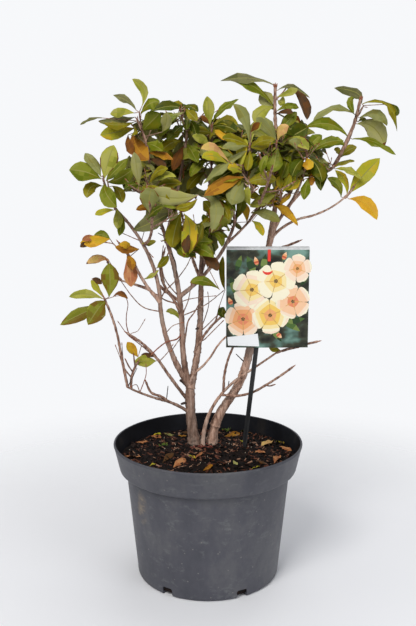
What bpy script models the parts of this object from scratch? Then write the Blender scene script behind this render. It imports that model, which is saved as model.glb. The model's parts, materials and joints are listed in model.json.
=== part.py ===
"""A potted rhododendron: three woody stems in a round nursery pot, with a picture label on a stick.

Metres, +Z up. The origin is the centre of the pot's flat underside. The label's picture faces -Y.
Trunk, boughs and foliage masses are all grown by the same rule: a limb leaves its parent at a place along it,
and turns evenly from one heading to the next over its length.
"""
import math
import random
from collections import namedtuple

import bmesh
import bpy
from mathutils import Matrix, Vector
from mathutils.bvhtree import BVHTree

MM = 0.001
CLEAR = 0.3 * MM            # kept between pieces that touch on the plant
GOLDEN_ANGLE = math.radians(137.5)

# Pot
POT_HEIGHT = 209 * MM
RIM_RADIUS = 145 * MM
BAND_FOOT_RADIUS = 136.5 * MM
BAND_FOOT_HEIGHT = 170 * MM
BODY_TOP_RADIUS = 126 * MM
BODY_FOOT_RADIUS = 110.5 * MM
FOOT_HEIGHT = 11 * MM
UNDERSIDE_RADIUS = 106 * MM
LIP = 3 * MM
WALL = 3 * MM
FLOOR = 4 * MM
SIDES = 48
DRAIN_COUNT = 6
DRAIN_TURN = math.radians(-33)
DRAIN_SIZE = (14.5 * MM, 24 * MM, 20 * MM)      # wide, deep and high, half of it below the pot

# Growing mix
SOIL_LEVEL = 194.7 * MM
SOIL_EDGE = 185 * MM
SOIL_CROWN_RADIUS = 62 * MM
SOIL_GAP = 0.45 * MM

# Label
CARD_LEFT, CARD_RIGHT = 27.5 * MM, 152 * MM
CARD_FOOT, CARD_TOP = 353 * MM, 502 * MM
CARD_FRONT = 6 * MM
CARD_THICK = 1.2 * MM
FLAP_DEPTH = 11 * MM
FLAP_RISE = 5 * MM
STICK_FOOT = Vector((57, 15, 195)) * MM
STICK_TOP = Vector((90, 9.2, 500)) * MM
STICK_WIDTH = 7 * MM
STICK_THICK = 2.6 * MM

# Limbs: the place along the parent where each one starts, its length, its headings as azimuth from +X towards
# +Y and rise above level in degrees, and its radii at foot and tip. Those with no parent start at the soil.
Limb = namedtuple("Limb", "name parent at length headings foot tip")
STEM_FEET = {
    "trunk": Vector((-21, 28, 195)) * MM,
    "middle_stem": Vector((-8, 19, 195)) * MM,
    "right_stem": Vector((6, 34, 195)) * MM,
}
LIMBS = [
    Limb("trunk", None, 0, 90, [(186, 79), (172, 92)], 8.6, 7.6),
    Limb("middle_stem", None, 0, 195, [(86, 88), (5, 60), (5, 33), (-10, 37)], 3.2, 1.4),
    Limb("right_stem", None, 0, 353, [(24, 83), (6, 53), (12, 76), (22, 80), (24, 80), (7, 76)], 7.6, 4.8),
    Limb("centre_bough", "trunk", 1.0, 262, [(30, 72), (59, 83), (91, 79), (41, 74)], 6.0, 2.8),
    Limb("left_fork", "trunk", 0.97, 359,
         [(-143, 72), (-92, 84), (-128, 75), (-154, 68), (-75, 84)], 5.2, 1.9),
    Limb("left_bough", "trunk", 1.0, 311,
         [(-141, 54), (-146, 68), (-97, 77), (-156, 64), (-162, 44)], 4.4, 2.0),
    Limb("low_bough", "trunk", 0.73, 90, [(-142, 49), (-161, 58)], 3.0, 2.2),
    Limb("low_left", "trunk", 0.53, 122, [(-142, 40), (-151, 21), (-155, 30)], 2.8, 1.5),
    Limb("front_twig", "trunk", 0.99, 125, [(-100, 55), (-20, 43), (13, 58), (20, 24)], 2.1, 1.3),
    Limb("cross_bough", "left_fork", 0.425, 191, [(-5, 36), (37, 51), (-88, 75)], 3.3, 2.0),
    Limb("mid_top", "left_fork", 0.686, 131, [(62, 58), (47, 78)], 2.7, 1.8),
    Limb("centre_right", "cross_bough", 0.57, 83, [(29, 34), (-33, 52)], 2.0, 1.5),
    Limb("left_outer", "left_bough", 0.5, 65, [(-161, 46), (-139, 62)], 2.8, 2.0),
    Limb("left_lower", "left_outer", 0.38, 46, [(162, 17), (170, 13)], 2.1, 1.5),
    Limb("leader", "right_stem", 1.0, 120, [(28, 83), (-99, 84)], 3.4, 2.0),
    Limb("right_rise", "right_stem", 0.984, 136, [(-8, 64), (-12, 31)], 2.9, 1.8),
    Limb("right_fork", "right_rise", 0.33, 71, [(-46, 50), (-67, 65)], 2.4, 1.7),
    Limb("right_reach", "right_stem", 0.955, 130, [(-22, 50), (-13, 14), (-19, 41)], 2.2, 1.4),
    Limb("back_left", "centre_bough", 0.645, 122, [(124, 50), (103, 51)], 2.7, 1.7),
    Limb("back_right", "centre_bough", 0.70, 122, [(63, 45), (78, 61)], 2.7, 1.7),
    Limb("back_stem", "right_stem", 0.746, 155, [(76, 55), (67, 60)], 3.0, 1.8),
]
LIMB_STEP = 18 * MM
THICK_SIDES, THIN_SIDES = 8, 6
THIN_RADIUS = 3.5 * MM
FLARE = {"trunk": 3.4 * MM, "right_stem": 2.2 * MM, "middle_stem": 1.0 * MM}
FLARE_HEIGHT = 13 * MM
FOOT_OVERRUN = 3 * MM       # how far a limb's wider copy, which cuts its neighbours, starts behind its foot

# Foliage masses: where the stem starts, its length and headings, how many side shoots it bears and how long
# they are, the leaves of each whorl, how long they are and how far they lean from the twig in degrees, how far
# the mass may reach from the middle of its space, the draw that its twigs and leaves come from, and its tint.
Mass = namedtuple("Mass", "name parent at length headings shoots shoot leaves leaf spread reach seed tint")
MASSES = [
    Mass("far_left_low_leaves", "low_left", 1.0, 142, [(-149, 79), (-142, 79), (-171, 66)],
         1, 30, 6, 72, 56, 95, 358, "olive"),
    Mass("low_left_twigs", "low_left", 0.95, 43, [(107, 72), (5, 56)],
         3, 24, 0, 0, 0, 40, 2, "bare"),
    Mass("wavy_twig", "low_left", 0.38, 56, [(-110, 62), (-155, 8), (-160, 46), (-163, 85)],
         0, 0, 0, 0, 0, 60, 3, "bare"),
    Mass("low_left_leaves", "low_bough", 1.0, 69, [(-162, 55), (-159, 32)],
         3, 46, 2, 34, 74, 75, 387, "green"),
    Mass("left_rust_leaves", "left_outer", 1.0, 44, [(-168, 62), (-165, 50)],
         1, 26, 5, 44, 74, 55, 42, "rust"),
    Mass("left_lower_leaves", "left_lower", 1.0, 35, [(177, 47), (-160, 63)],
         0, 0, 4, 40, 92, 60, 176, "olive"),
    Mass("left_leaves", "left_bough", 1.0, 41, [(-166, 67), (-166, 67)],
         2, 44, 5, 58, 56, 85, 198, "green"),
    Mass("upper_left_leaves", "left_fork", 1.0, 59, [(-162, 85), (178, 63)],
         2, 42, 6, 62, 92, 90, 354, "green"),
    Mass("upper_mid_leaves", "mid_top", 1.0, 55, [(-5, 78), (13, 88)],
         3, 44, 6, 60, 90, 85, 29, "green"),
    Mass("mid_left_leaves", "left_fork", 0.852, 45, [(-95, 30), (-98, 25)],
         2, 36, 5, 64, 50, 80, 141, "olive"),
    Mass("lower_front_leaves", "left_fork", 0.658, 42, [(-76, 7), (-61, 8)],
         2, 34, 5, 60, 76, 75, 79, "olive"),
    Mass("centre_top_leaves", "centre_bough", 1.0, 145, [(-47, 79), (-95, 72)],
         3, 44, 6, 60, 76, 90, 147, "green"),
    Mass("centre_leaves", "cross_bough", 1.0, 80, [(-56, 49), (-96, 51)],
         3, 42, 6, 62, 62, 85, 46, "olive"),
    Mass("leader_leaves", "leader", 1.0, 92, [(-152, 79), (-80, 81)],
         3, 42, 6, 60, 92, 85, 392, "green"),
    Mass("leader_side_leaves", "centre_right", 1.0, 94, [(-40, 61), (-91, 75)],
         3, 40, 6, 58, 90, 80, 113, "olive"),
    Mass("right_centre_leaves", "right_fork", 1.0, 30, [(-82, 55), (-107, 65)],
         2, 38, 6, 58, 90, 75, 2, "green"),
    Mass("right_top_leaves", "right_rise", 1.0, 105, [(-11, 58), (-27, 80)],
         2, 36, 5, 68, 92, 90, 177, "green"),
    Mass("right_mid_leaves", "right_rise", 0.88, 30, [(-54, 13), (-79, 24)],
         1, 30, 5, 54, 92, 70, 187, "olive"),
    Mass("right_end_leaves", "right_reach", 1.0, 22, [(-19, 41), (13, 60)],
         0, 0, 4, 72, 56, 80, 357, "gold"),
    Mass("right_inner_leaves", "right_rise", 0.22, 60, [(-98, 25), (-101, 46)],
         2, 34, 5, 44, 76, 70, 101, "gold"),
    Mass("centre_front_leaves", "cross_bough", 0.753, 75, [(-98, 46), (-96, 22)],
         2, 36, 6, 60, 62, 80, 56, "olive"),
    Mass("centre_low_leaves", "centre_bough", 0.81, 54, [(-68, 54), (-78, 30)],
         2, 36, 6, 52, 90, 70, 31, "olive"),
    Mass("back_left_leaves", "back_left", 1.0, 101, [(122, 65), (158, 68)],
         3, 46, 6, 62, 76, 90, 57, "green"),
    Mass("back_right_leaves", "back_right", 1.0, 122, [(63, 61), (14, 80)],
         3, 46, 6, 62, 76, 95, 60, "olive"),
    Mass("back_stem_leaves", "back_stem", 1.0, 105, [(47, 62), (24, 69)],
         3, 46, 6, 62, 62, 90, 33, "green"),
    Mass("far_back_left_leaves", "mid_top", 0.3, 139, [(97, 7), (151, 33)],
         3, 44, 6, 60, 50, 85, 11, "olive"),
    Mass("front_left_leaves", "left_bough", 0.79, 105, [(-66, 14), (-103, 58)],
         3, 40, 6, 58, 50, 80, 112, "green"),
    Mass("front_right_leaves", "centre_right", 0.6, 141, [(-72, 30), (-84, 38)],
         3, 40, 6, 56, 50, 80, 62, "olive"),
    Mass("middle_stem_leaf", "middle_stem", 1.0, 66, [(-5, 20), (-3, 13)],
         1, 20, 1, 30, 62, 60, 29, "gold"),
    Mass("middle_low_twig", "middle_stem", 0.44, 125, [(8, -14), (-7, 31), (-9, 40)],
         1, 20, 0, 0, 0, 90, 30, "bare"),
    Mass("middle_up_twig", "middle_stem", 0.47, 80, [(-109, 83), (-8, 64)],
         0, 0, 0, 0, 0, 60, 31, "bare"),
    Mass("inner_left_twigs", "left_fork", 0.4, 90, [(-167, 34), (-4, 67)],
         2, 30, 0, 0, 0, 60, 32, "bare"),
    Mass("inner_low_twigs", "left_fork", 0.318, 70, [(-118, 73), (-161, 37)],
         2, 26, 0, 0, 0, 50, 33, "bare"),
    Mass("inner_right_twigs", "centre_bough", 0.258, 62, [(-14, 63), (-11, 40)],
         2, 34, 1, 36, 62, 55, 34, "bare"),
    Mass("right_side_twig", "right_stem", 0.9, 52, [(-28, 12), (-12, 25)],
         0, 0, 0, 0, 0, 50, 35, "bare"),
]
STEM_RADIUS, STEM_TIP_RADIUS = 1.7 * MM, 0.9 * MM
SHOOT_RADIUS, SHOOT_TIP_RADIUS = 1.1 * MM, 0.7 * MM
STEM_STEP = 26 * MM
SEAT_STEP = 0.1 * MM
SEAT_STEPS = 250
SHOOT_STEPS = 2
WHORL_SPAN = 0.42           # the share of a shoot, at its tip, that bears the leaves
LEAN_RANGE = 38             # degrees between the lowest leaf of a whorl and the highest
LEAF_WIDTH = 0.36           # of its length
LEAF_THICK = 0.026          # of its length, at the midrib
LOWEST_LEAF = 255 * MM

TINTS = {
    "green": (0.18, 0.25, 0.06),
    "olive": (0.30, 0.31, 0.10),
    "gold": (0.50, 0.46, 0.10),
    "rust": (0.48, 0.23, 0.06),
    "bare": (0.30, 0.20, 0.15),
}


def material(name, colour, roughness, metallic=0.0):
    made = bpy.data.materials.new(name)
    made.use_nodes = True
    shader = made.node_tree.nodes["Principled BSDF"]
    shader.inputs["Base Color"].default_value = (*colour, 1.0)
    shader.inputs["Roughness"].default_value = roughness
    shader.inputs["Metallic"].default_value = metallic
    made.diffuse_color = (*colour, 1.0)
    return made


def placed(name, mesh, finish, smooth=True):
    """Turns a bmesh into a named object of the scene."""
    bmesh.ops.recalc_face_normals(mesh, faces=mesh.faces)
    data = bpy.data.meshes.new(name)
    mesh.to_mesh(data)
    mesh.free()
    data.materials.append(finish)
    if smooth:
        data.shade_smooth()
        data.set_sharp_from_angle(angle=math.radians(40))
    made = bpy.data.objects.new(name, data)
    bpy.context.collection.objects.link(made)
    return made


def cutter(made):
    made.hide_render = True
    made.display_type = "WIRE"
    return made


def cut(target, tool):
    step = target.modifiers.new("cut", "BOOLEAN")
    step.operation = "DIFFERENCE"
    step.object = tool


# Turned pieces: the pot and the growing mix

def turned(name, profile, finish):
    """A solid of revolution about Z, from radius and height points that start and end on the axis."""
    mesh = bmesh.new()
    points = [mesh.verts.new((radius, 0, height)) for radius, height in profile]
    edges = [mesh.edges.new(pair) for pair in zip(points, points[1:])]
    bmesh.ops.spin(mesh, geom=points + edges, cent=(0, 0, 0), axis=(0, 0, 1), angle=math.tau, steps=SIDES,
                   use_merge=True)
    bmesh.ops.remove_doubles(mesh, verts=mesh.verts, dist=1e-6)
    return placed(name, mesh, finish)


def inner_radius(height):
    """The radius of the pot's inside at a height: the tapering body, the step and the rim band."""
    if height < BAND_FOOT_HEIGHT:
        share = (height - FOOT_HEIGHT) / (BAND_FOOT_HEIGHT - FOOT_HEIGHT)
        return BODY_FOOT_RADIUS + (BODY_TOP_RADIUS - BODY_FOOT_RADIUS) * share - WALL
    share = (height - BAND_FOOT_HEIGHT) / (POT_HEIGHT - BAND_FOOT_HEIGHT)
    return BAND_FOOT_RADIUS + (RIM_RADIUS - BAND_FOOT_RADIUS) * share - WALL


def pot(finish):
    step_top = BAND_FOOT_HEIGHT + WALL
    profile = [
        (0, 0),
        (UNDERSIDE_RADIUS, 0),
        (BODY_FOOT_RADIUS - 0.6 * MM, 0.35 * FOOT_HEIGHT),
        (BODY_FOOT_RADIUS, FOOT_HEIGHT),
        (BODY_TOP_RADIUS, BAND_FOOT_HEIGHT - LIP),
        (BAND_FOOT_RADIUS - LIP, BAND_FOOT_HEIGHT - LIP),
        (BAND_FOOT_RADIUS, BAND_FOOT_HEIGHT + LIP),
        (RIM_RADIUS - LIP, POT_HEIGHT - 4 * LIP),
        (RIM_RADIUS, POT_HEIGHT - 3 * LIP),
        (RIM_RADIUS, POT_HEIGHT - LIP),
        (RIM_RADIUS - 0.5 * LIP, POT_HEIGHT),
        (RIM_RADIUS - 1.2 * LIP, POT_HEIGHT),
        (inner_radius(step_top), step_top),
        (inner_radius(BAND_FOOT_HEIGHT - LIP), step_top),
        (inner_radius(FLOOR), FLOOR),
        (0, FLOOR),
    ]
    made = turned("pot", profile, finish)
    slots = bmesh.new()
    for number in range(DRAIN_COUNT):
        turn = Matrix.Rotation(DRAIN_TURN + number * math.tau / DRAIN_COUNT, 4, "Z")
        place = Matrix.Translation((0, -BODY_FOOT_RADIUS, 0))
        size = Matrix.Diagonal((*DRAIN_SIZE, 1))
        bmesh.ops.create_cube(slots, size=1, matrix=turn @ place @ size)
    cut(made, cutter(placed("drain_slots", slots, finish, smooth=False)))


def growing_mix(finish):
    step_top = BAND_FOOT_HEIGHT + WALL + SOIL_GAP
    floor = FLOOR + SOIL_GAP
    turned("growing_mix", [
        (0, floor),
        (inner_radius(floor) - SOIL_GAP, floor),
        (inner_radius(BAND_FOOT_HEIGHT - LIP) - SOIL_GAP, step_top),
        (inner_radius(step_top) - SOIL_GAP, step_top),
        (inner_radius(SOIL_EDGE) - SOIL_GAP, SOIL_EDGE),
        (SOIL_CROWN_RADIUS, SOIL_LEVEL),
        (0, SOIL_LEVEL),
    ], finish)


# Label: a printed card, folded back at its top, on a flat plastic stick

def label_card(finish):
    """The card's bent section, in depth and height, drawn out from its left edge to its right."""
    back = CARD_FRONT + CARD_THICK
    section = [
        (CARD_FRONT, CARD_FOOT),
        (back, CARD_FOOT),
        (back, CARD_TOP - CARD_THICK),
        (back + FLAP_DEPTH, CARD_TOP + FLAP_RISE - CARD_THICK),
        (back + FLAP_DEPTH, CARD_TOP + FLAP_RISE),
        (CARD_FRONT, CARD_TOP),
    ]
    mesh = bmesh.new()
    face = mesh.faces.new([mesh.verts.new((CARD_LEFT, y, z)) for y, z in section])
    drawn = bmesh.ops.extrude_face_region(mesh, geom=[face])["geom"]
    moved = [part for part in drawn if isinstance(part, bmesh.types.BMVert)]
    bmesh.ops.translate(mesh, verts=moved, vec=(CARD_RIGHT - CARD_LEFT, 0, 0))
    placed("label_card", mesh, finish, smooth=False)


def label_stick(finish):
    mesh = bmesh.new()
    bmesh.ops.create_cube(mesh, size=1)
    for corner in mesh.verts:
        end = STICK_TOP if corner.co.z > 0 else STICK_FOOT
        corner.co = end + Vector((corner.co.x * STICK_WIDTH, corner.co.y * STICK_THICK, 0))
    bmesh.ops.recalc_face_normals(mesh, faces=mesh.faces)
    placed("label_stick", mesh, finish, smooth=False)


# The growth rule

def heading(azimuth, rise):
    azimuth, rise = math.radians(azimuth), math.radians(rise)
    return Vector((math.cos(rise) * math.cos(azimuth), math.cos(rise) * math.sin(azimuth), math.sin(rise)))


def course(start, length, headings, steps):
    """Points along a limb that turns evenly from heading to heading."""
    points = [start.copy()]
    for number in range(steps):
        share = (number + 0.5) / steps * (len(headings) - 1)
        first = min(int(share), len(headings) - 2)
        along = headings[first].lerp(headings[first + 1], share - first).normalized()
        points.append(points[-1] + along * length / steps)
    return points


def point_at(points, share):
    place = share * (len(points) - 1)
    first = min(int(place), len(points) - 2)
    return points[first].lerp(points[first + 1], place - first)


def direction_at(points, share):
    first = min(int(share * (len(points) - 1)), len(points) - 2)
    return (points[first + 1] - points[first]).normalized()


def square_to(along):
    """Any unit vector at right angles to a direction, the same one each time."""
    aside = along.cross(Vector((0, 0, 1))) if abs(along.z) < 0.9 else along.cross(Vector((1, 0, 0)))
    return aside.normalized()


def add_tube(mesh, points, radii, sides):
    """A closed tapering tube along the points, with flat ends."""
    aside = square_to(direction_at(points, 0))
    rings = []
    for number, (point, radius) in enumerate(zip(points, radii)):
        ahead = points[min(number + 1, len(points) - 1)] - points[max(number - 1, 0)]
        ahead.normalize()
        aside = (aside - ahead * aside.dot(ahead)).normalized()
        other = ahead.cross(aside)
        turns = [math.tau * side / sides for side in range(sides)]
        around = [aside * math.cos(turn) + other * math.sin(turn) for turn in turns]
        rings.append([mesh.verts.new(point + out * radius) for out in around])
    for low, high in zip(rings, rings[1:]):
        for side in range(sides):
            after = (side + 1) % sides
            mesh.faces.new((low[side], low[after], high[after], high[side]))
    mesh.faces.new(rings[0][::-1])
    mesh.faces.new(rings[-1])
    return rings


def tree_of(mesh):
    return BVHTree.FromBMesh(mesh)


def tree_of_object(made):
    shape = made.evaluated_get(bpy.context.evaluated_depsgraph_get()).to_mesh()
    corners = [corner.co.copy() for corner in shape.vertices]
    faces = [tuple(face.vertices) for face in shape.polygons]
    return BVHTree.FromPolygons(corners, faces)


def keep_largest_piece(mesh):
    """Drops the scraps that a cut leaves on the far side of a parent, and any that touch at a corner only."""
    left = set(mesh.faces)
    pieces = []
    while left:
        piece, edge = set(), [next(iter(left))]
        while edge:
            face = edge.pop()
            if face not in piece:
                piece.add(face)
                edge.extend(near for side in face.edges for near in side.link_faces)
        left -= piece
        pieces.append(piece)
    keep = max(pieces, key=len)
    bmesh.ops.delete(mesh, geom=[face for face in mesh.faces if face not in keep], context="FACES")


def settle(made, solvers=("EXACT", "MANIFOLD")):
    """Applies an object's Boolean by the first solver that leaves a closed body, as plain triangles."""
    for solver in solvers:
        made.modifiers[0].solver = solver
        mesh = bmesh.new()
        mesh.from_object(made, bpy.context.evaluated_depsgraph_get())
        bmesh.ops.triangulate(mesh, faces=mesh.faces)
        keep_largest_piece(mesh)
        if mesh.faces and all(edge.is_manifold for edge in mesh.edges):
            break
    made.modifiers.clear()
    mesh.to_mesh(made.data)
    mesh.free()
    made.data.shade_smooth()
    made.data.set_sharp_from_angle(angle=math.radians(40))


# Trunk, stems and boughs

def limb_radii(limb, points, extra=0.0):
    """Radii in metres, thicker at the root flare of the stems that stand in the soil."""
    radii = []
    for number, point in enumerate(points):
        share = number / (len(points) - 1)
        radius = (limb.foot + (limb.tip - limb.foot) * share) * MM + extra
        if limb.parent is None:
            radius += FLARE[limb.name] * math.exp(-(point.z - points[0].z) / FLARE_HEIGHT)
        radii.append(radius)
    return radii


def limb_mesh(limb, points, extra=0.0):
    mesh = bmesh.new()
    sides = THIN_SIDES if limb.foot * MM < THIN_RADIUS else THICK_SIDES
    if extra:
        foot = points[0] - direction_at(points, 0.0) * FOOT_OVERRUN
        points = [foot, *points[1:-1], points[-1] + direction_at(points, 1.0) * extra]
    rings = add_tube(mesh, points, limb_radii(limb, points, extra), sides)
    if limb.parent is None:
        for corner in rings[0]:
            corner.co.z = points[0].z
    return mesh


def grow_limbs(bark):
    """All limbs in order, each cut back from every earlier one that its root runs into."""
    courses, solids = {}, []
    for limb in LIMBS:
        start = STEM_FEET[limb.name] if limb.parent is None else point_at(courses[limb.parent], limb.at)
        steps = max(4, round(limb.length * MM / LIMB_STEP))
        points = course(start, limb.length * MM, [heading(*pair) for pair in limb.headings], steps)
        courses[limb.name] = points
        made = placed(limb.name, limb_mesh(limb, points), bark)
        reach = tree_of_object(made)
        for other in LIMBS[:LIMBS.index(limb)]:
            wide = limb_mesh(other, courses[other.name], CLEAR * 1.15)
            if not tree_of(wide).overlap(reach):
                wide.free()
                continue
            tool = cutter(placed("tool", wide, bark))
            cut(made, tool)
            settle(made)
            bpy.data.objects.remove(tool)
        solids.append(made)
    return courses, solids


# Leaves and foliage masses

def leaf_mesh(root, along, upper, length, droop, spare=0.0, blade_only=False):
    """An obovate leaf, flat on top with its midrib as a ridge below, arching over as it droops.

    Spare room all round makes the shape that is tested against the neighbours.
    """
    mesh = bmesh.new()
    across = along.cross(upper).normalized()

    def middle(share):
        return root + along * length * share - Vector((0, 0, droop * length * share * share))

    def ring(share, width):
        half = 0.5 * width * LEAF_WIDTH * length + spare
        centre = middle(share)
        return [
            mesh.verts.new(centre - across * half + upper * (spare + 0.01 * length)),
            mesh.verts.new(centre + across * half + upper * (spare + 0.01 * length)),
            mesh.verts.new(centre - upper * (LEAF_THICK * length + spare)),
        ]

    foot = mesh.verts.new(middle(0.22 if blade_only else 0.0))
    near, far = ring(0.38, 0.78), ring(0.74, 0.92)
    tip = mesh.verts.new(middle(1.0) + (middle(1.0) - middle(0.9)).normalized() * spare)
    for side in range(3):
        after = (side + 1) % 3
        mesh.faces.new((foot, near[side], near[after]))
        mesh.faces.new((near[side], far[side], far[after], near[after]))
        mesh.faces.new((tip, far[after], far[side]))
    bmesh.ops.recalc_face_normals(mesh, faces=mesh.faces)
    return mesh


def whorl(draw, points, count, length, spread):
    """Leaves round the end of a twig: the lowest spread wide and the youngest stand up and are shorter."""
    phase = draw.uniform(0, math.tau)
    leaves = []
    for number in range(count):
        share = number / max(count - 1, 1)
        place = 1 - WHORL_SPAN * (1 - share) * 0.9 - 0.02
        along = direction_at(points, place)
        aside = square_to(along)
        turn = phase + number * GOLDEN_ANGLE
        out = aside * math.cos(turn) + along.cross(aside) * math.sin(turn)
        lean = math.radians(spread + LEAN_RANGE * (0.5 - share) + draw.uniform(-10, 10))
        direction = (along * math.cos(lean) + out * math.sin(lean)).normalized()
        upper = (along * math.sin(lean) - out * math.cos(lean)).normalized()
        size = length * (1.08 - 0.3 * share) * draw.uniform(0.88, 1.12)
        droop = draw.uniform(0.02, 0.30)
        leaves.append((point_at(points, place), direction, upper, size, droop))
    return leaves


def side_shoot(draw, stem, number, count, length):
    """One shoot on a mass's stem, curving upwards from a golden-angle place round it."""
    share = 0.30 + 0.58 * (number + 0.5) / count
    along = direction_at(stem, share)
    aside = square_to(along)
    turn = number * GOLDEN_ANGLE + draw.uniform(0, 1.2)
    out = aside * math.cos(turn) + along.cross(aside) * math.sin(turn)
    tilt = math.radians(draw.uniform(48, 68))
    first = (along * math.cos(tilt) + out * math.sin(tilt)).normalized()
    last = (first + Vector((0, 0, 0.7))).normalized()
    size = length * draw.uniform(0.85, 1.2)
    return course(point_at(stem, share), size, [first, last], SHOOT_STEPS)


def clear_of(mesh, trees):
    shape = tree_of(mesh)
    mesh.free()
    return not any(shape.overlap(tree) for tree in trees)


def twig_mesh(points, foot, tip, spare=0.0):
    """A three-sided twig. Spare room all round makes the shape that is tested against the neighbours."""
    if spare:
        before = points[0] - direction_at(points, 0.0) * spare
        after = points[-1] + direction_at(points, 1.0) * spare
        points = [before, *points[1:-1], after]
    mesh = bmesh.new()
    last = len(points) - 1
    radii = [foot + (tip - foot) * number / last + spare for number in range(last + 1)]
    add_tube(mesh, points, radii, 3)
    return mesh


def seated(points, tree):
    """Slides a stem out along its first stretch until all of it is clear of the limb that bears it."""
    along = direction_at(points, 0.0)
    for step in range(SEAT_STEPS):
        moved = [point + along * SEAT_STEP * step for point in points]
        if clear_of(twig_mesh(moved, STEM_RADIUS, STEM_TIP_RADIUS, CLEAR), [tree]):
            return moved
    return points


def mass_stem(mass, courses, trees):
    """The stem of a foliage mass, seated just clear of the limb that bears it."""
    headings = [heading(*pair) for pair in mass.headings]
    steps = max(3, round(mass.length * MM / STEM_STEP))
    points = course(point_at(courses[mass.parent], mass.at), mass.length * MM, headings, steps)
    return seated(points, trees[mass.parent])


def grow_mass(mass, stem, trees, finish):
    """Stem, side shoots and leaves, each kept only where it is clear of all that stands already."""
    draw = random.Random(mass.seed)
    middle = point_at(stem, 0.8)
    shoots = [side_shoot(draw, stem, count, mass.shoots, mass.shoot * MM) for count in range(mass.shoots)]
    sprays = [whorl(draw, points, mass.leaves, mass.leaf * MM, mass.spread) for points in [stem, *shoots]]

    others = [tree for name, tree in trees.items() if name != mass.name]
    pieces = [twig_mesh(stem, STEM_RADIUS, STEM_TIP_RADIUS)]
    blades = []
    for points, leaves in zip([stem, *shoots], sprays):
        if points is not stem:
            if not clear_of(twig_mesh(points, SHOOT_RADIUS, SHOOT_TIP_RADIUS, 1.4 * CLEAR), others):
                continue
            pieces.append(twig_mesh(points, SHOOT_RADIUS, SHOOT_TIP_RADIUS))
        for leaf in leaves:
            root, along, _, size, droop = leaf
            end = root + along * size - Vector((0, 0, droop * size))
            if (end - middle).length > mass.reach * MM or end.z < LOWEST_LEAF:
                continue
            blade = tree_of(leaf_mesh(*leaf, spare=CLEAR, blade_only=True))
            if any(blade.overlap(other) for other in blades):
                continue
            if not clear_of(leaf_mesh(*leaf, spare=1.4 * CLEAR), others):
                continue
            blades.append(blade)
            pieces.append(leaf_mesh(*leaf))
    made = fuse(mass.name, pieces, finish)
    trees[mass.name] = tree_of_object(made)


def fuse(name, meshes, finish):
    """Joins closed pieces into one body with one Boolean union on a collection."""
    made = placed(name, meshes[0], finish)
    if len(meshes) == 1:
        return made
    group = bpy.data.collections.new("pieces")
    bpy.context.scene.collection.children.link(group)
    parts = []
    for mesh in meshes[1:]:
        part = placed("piece", mesh, finish, smooth=False)
        bpy.context.collection.objects.unlink(part)
        group.objects.link(part)
        parts.append(part)
    step = made.modifiers.new("fuse", "BOOLEAN")
    step.operation = "UNION"
    step.operand_type = "COLLECTION"
    step.collection = group
    settle(made, ("MANIFOLD", "EXACT"))
    for part in parts:
        bpy.data.objects.remove(part)
    bpy.data.collections.remove(group)
    return made


for old in list(bpy.data.objects):
    bpy.data.objects.remove(old)

pot(material("pot_plastic", (0.035, 0.038, 0.042), 0.55))
growing_mix(material("bark_mix", (0.06, 0.035, 0.02), 0.95))
label_card(material("label_print", (0.55, 0.42, 0.25), 0.4))
label_stick(material("label_stick_plastic", (0.02, 0.02, 0.022), 0.45))

limb_courses, limb_solids = grow_limbs(material("bark", (0.36, 0.24, 0.17), 0.85))
standing = {made.name: tree_of_object(made) for made in limb_solids}
for label_piece in ("label_card", "label_stick"):
    standing[label_piece] = tree_of_object(bpy.data.objects[label_piece])
foliage = {tint: material(f"foliage_{tint}", colour, 0.5) for tint, colour in TINTS.items()}
stems = {mass.name: mass_stem(mass, limb_courses, standing) for mass in MASSES}
for mass in MASSES:
    standing[mass.name] = tree_of(twig_mesh(stems[mass.name], STEM_RADIUS, STEM_TIP_RADIUS))
for mass in MASSES:
    grow_mass(mass, stems[mass.name], standing, foliage[mass.tint])
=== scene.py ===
"""The looks of a potted rhododendron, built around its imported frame. Metres, +Z up, front at -Y."""
import json
import math
import random
from collections import namedtuple
from contextlib import contextmanager
from functools import cache

import bpy
from mathutils import Matrix, Vector, noise

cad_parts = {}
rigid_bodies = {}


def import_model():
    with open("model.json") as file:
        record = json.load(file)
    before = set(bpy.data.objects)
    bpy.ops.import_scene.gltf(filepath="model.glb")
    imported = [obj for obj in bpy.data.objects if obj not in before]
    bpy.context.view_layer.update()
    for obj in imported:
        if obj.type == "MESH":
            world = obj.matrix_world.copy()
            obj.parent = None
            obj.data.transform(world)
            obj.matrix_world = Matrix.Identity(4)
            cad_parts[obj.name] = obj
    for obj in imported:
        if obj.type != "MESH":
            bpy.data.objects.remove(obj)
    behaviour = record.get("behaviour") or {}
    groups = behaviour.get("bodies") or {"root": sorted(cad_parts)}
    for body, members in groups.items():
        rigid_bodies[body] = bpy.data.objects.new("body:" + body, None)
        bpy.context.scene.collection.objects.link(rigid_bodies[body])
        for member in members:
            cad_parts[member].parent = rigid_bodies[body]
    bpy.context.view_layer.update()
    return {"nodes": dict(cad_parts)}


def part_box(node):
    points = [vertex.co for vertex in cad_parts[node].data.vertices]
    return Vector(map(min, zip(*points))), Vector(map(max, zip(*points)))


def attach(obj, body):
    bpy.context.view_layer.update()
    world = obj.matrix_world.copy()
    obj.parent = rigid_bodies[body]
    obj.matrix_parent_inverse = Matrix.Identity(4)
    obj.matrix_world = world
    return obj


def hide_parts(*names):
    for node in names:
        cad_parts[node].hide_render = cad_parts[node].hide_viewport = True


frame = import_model()
MM = 0.001


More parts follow.
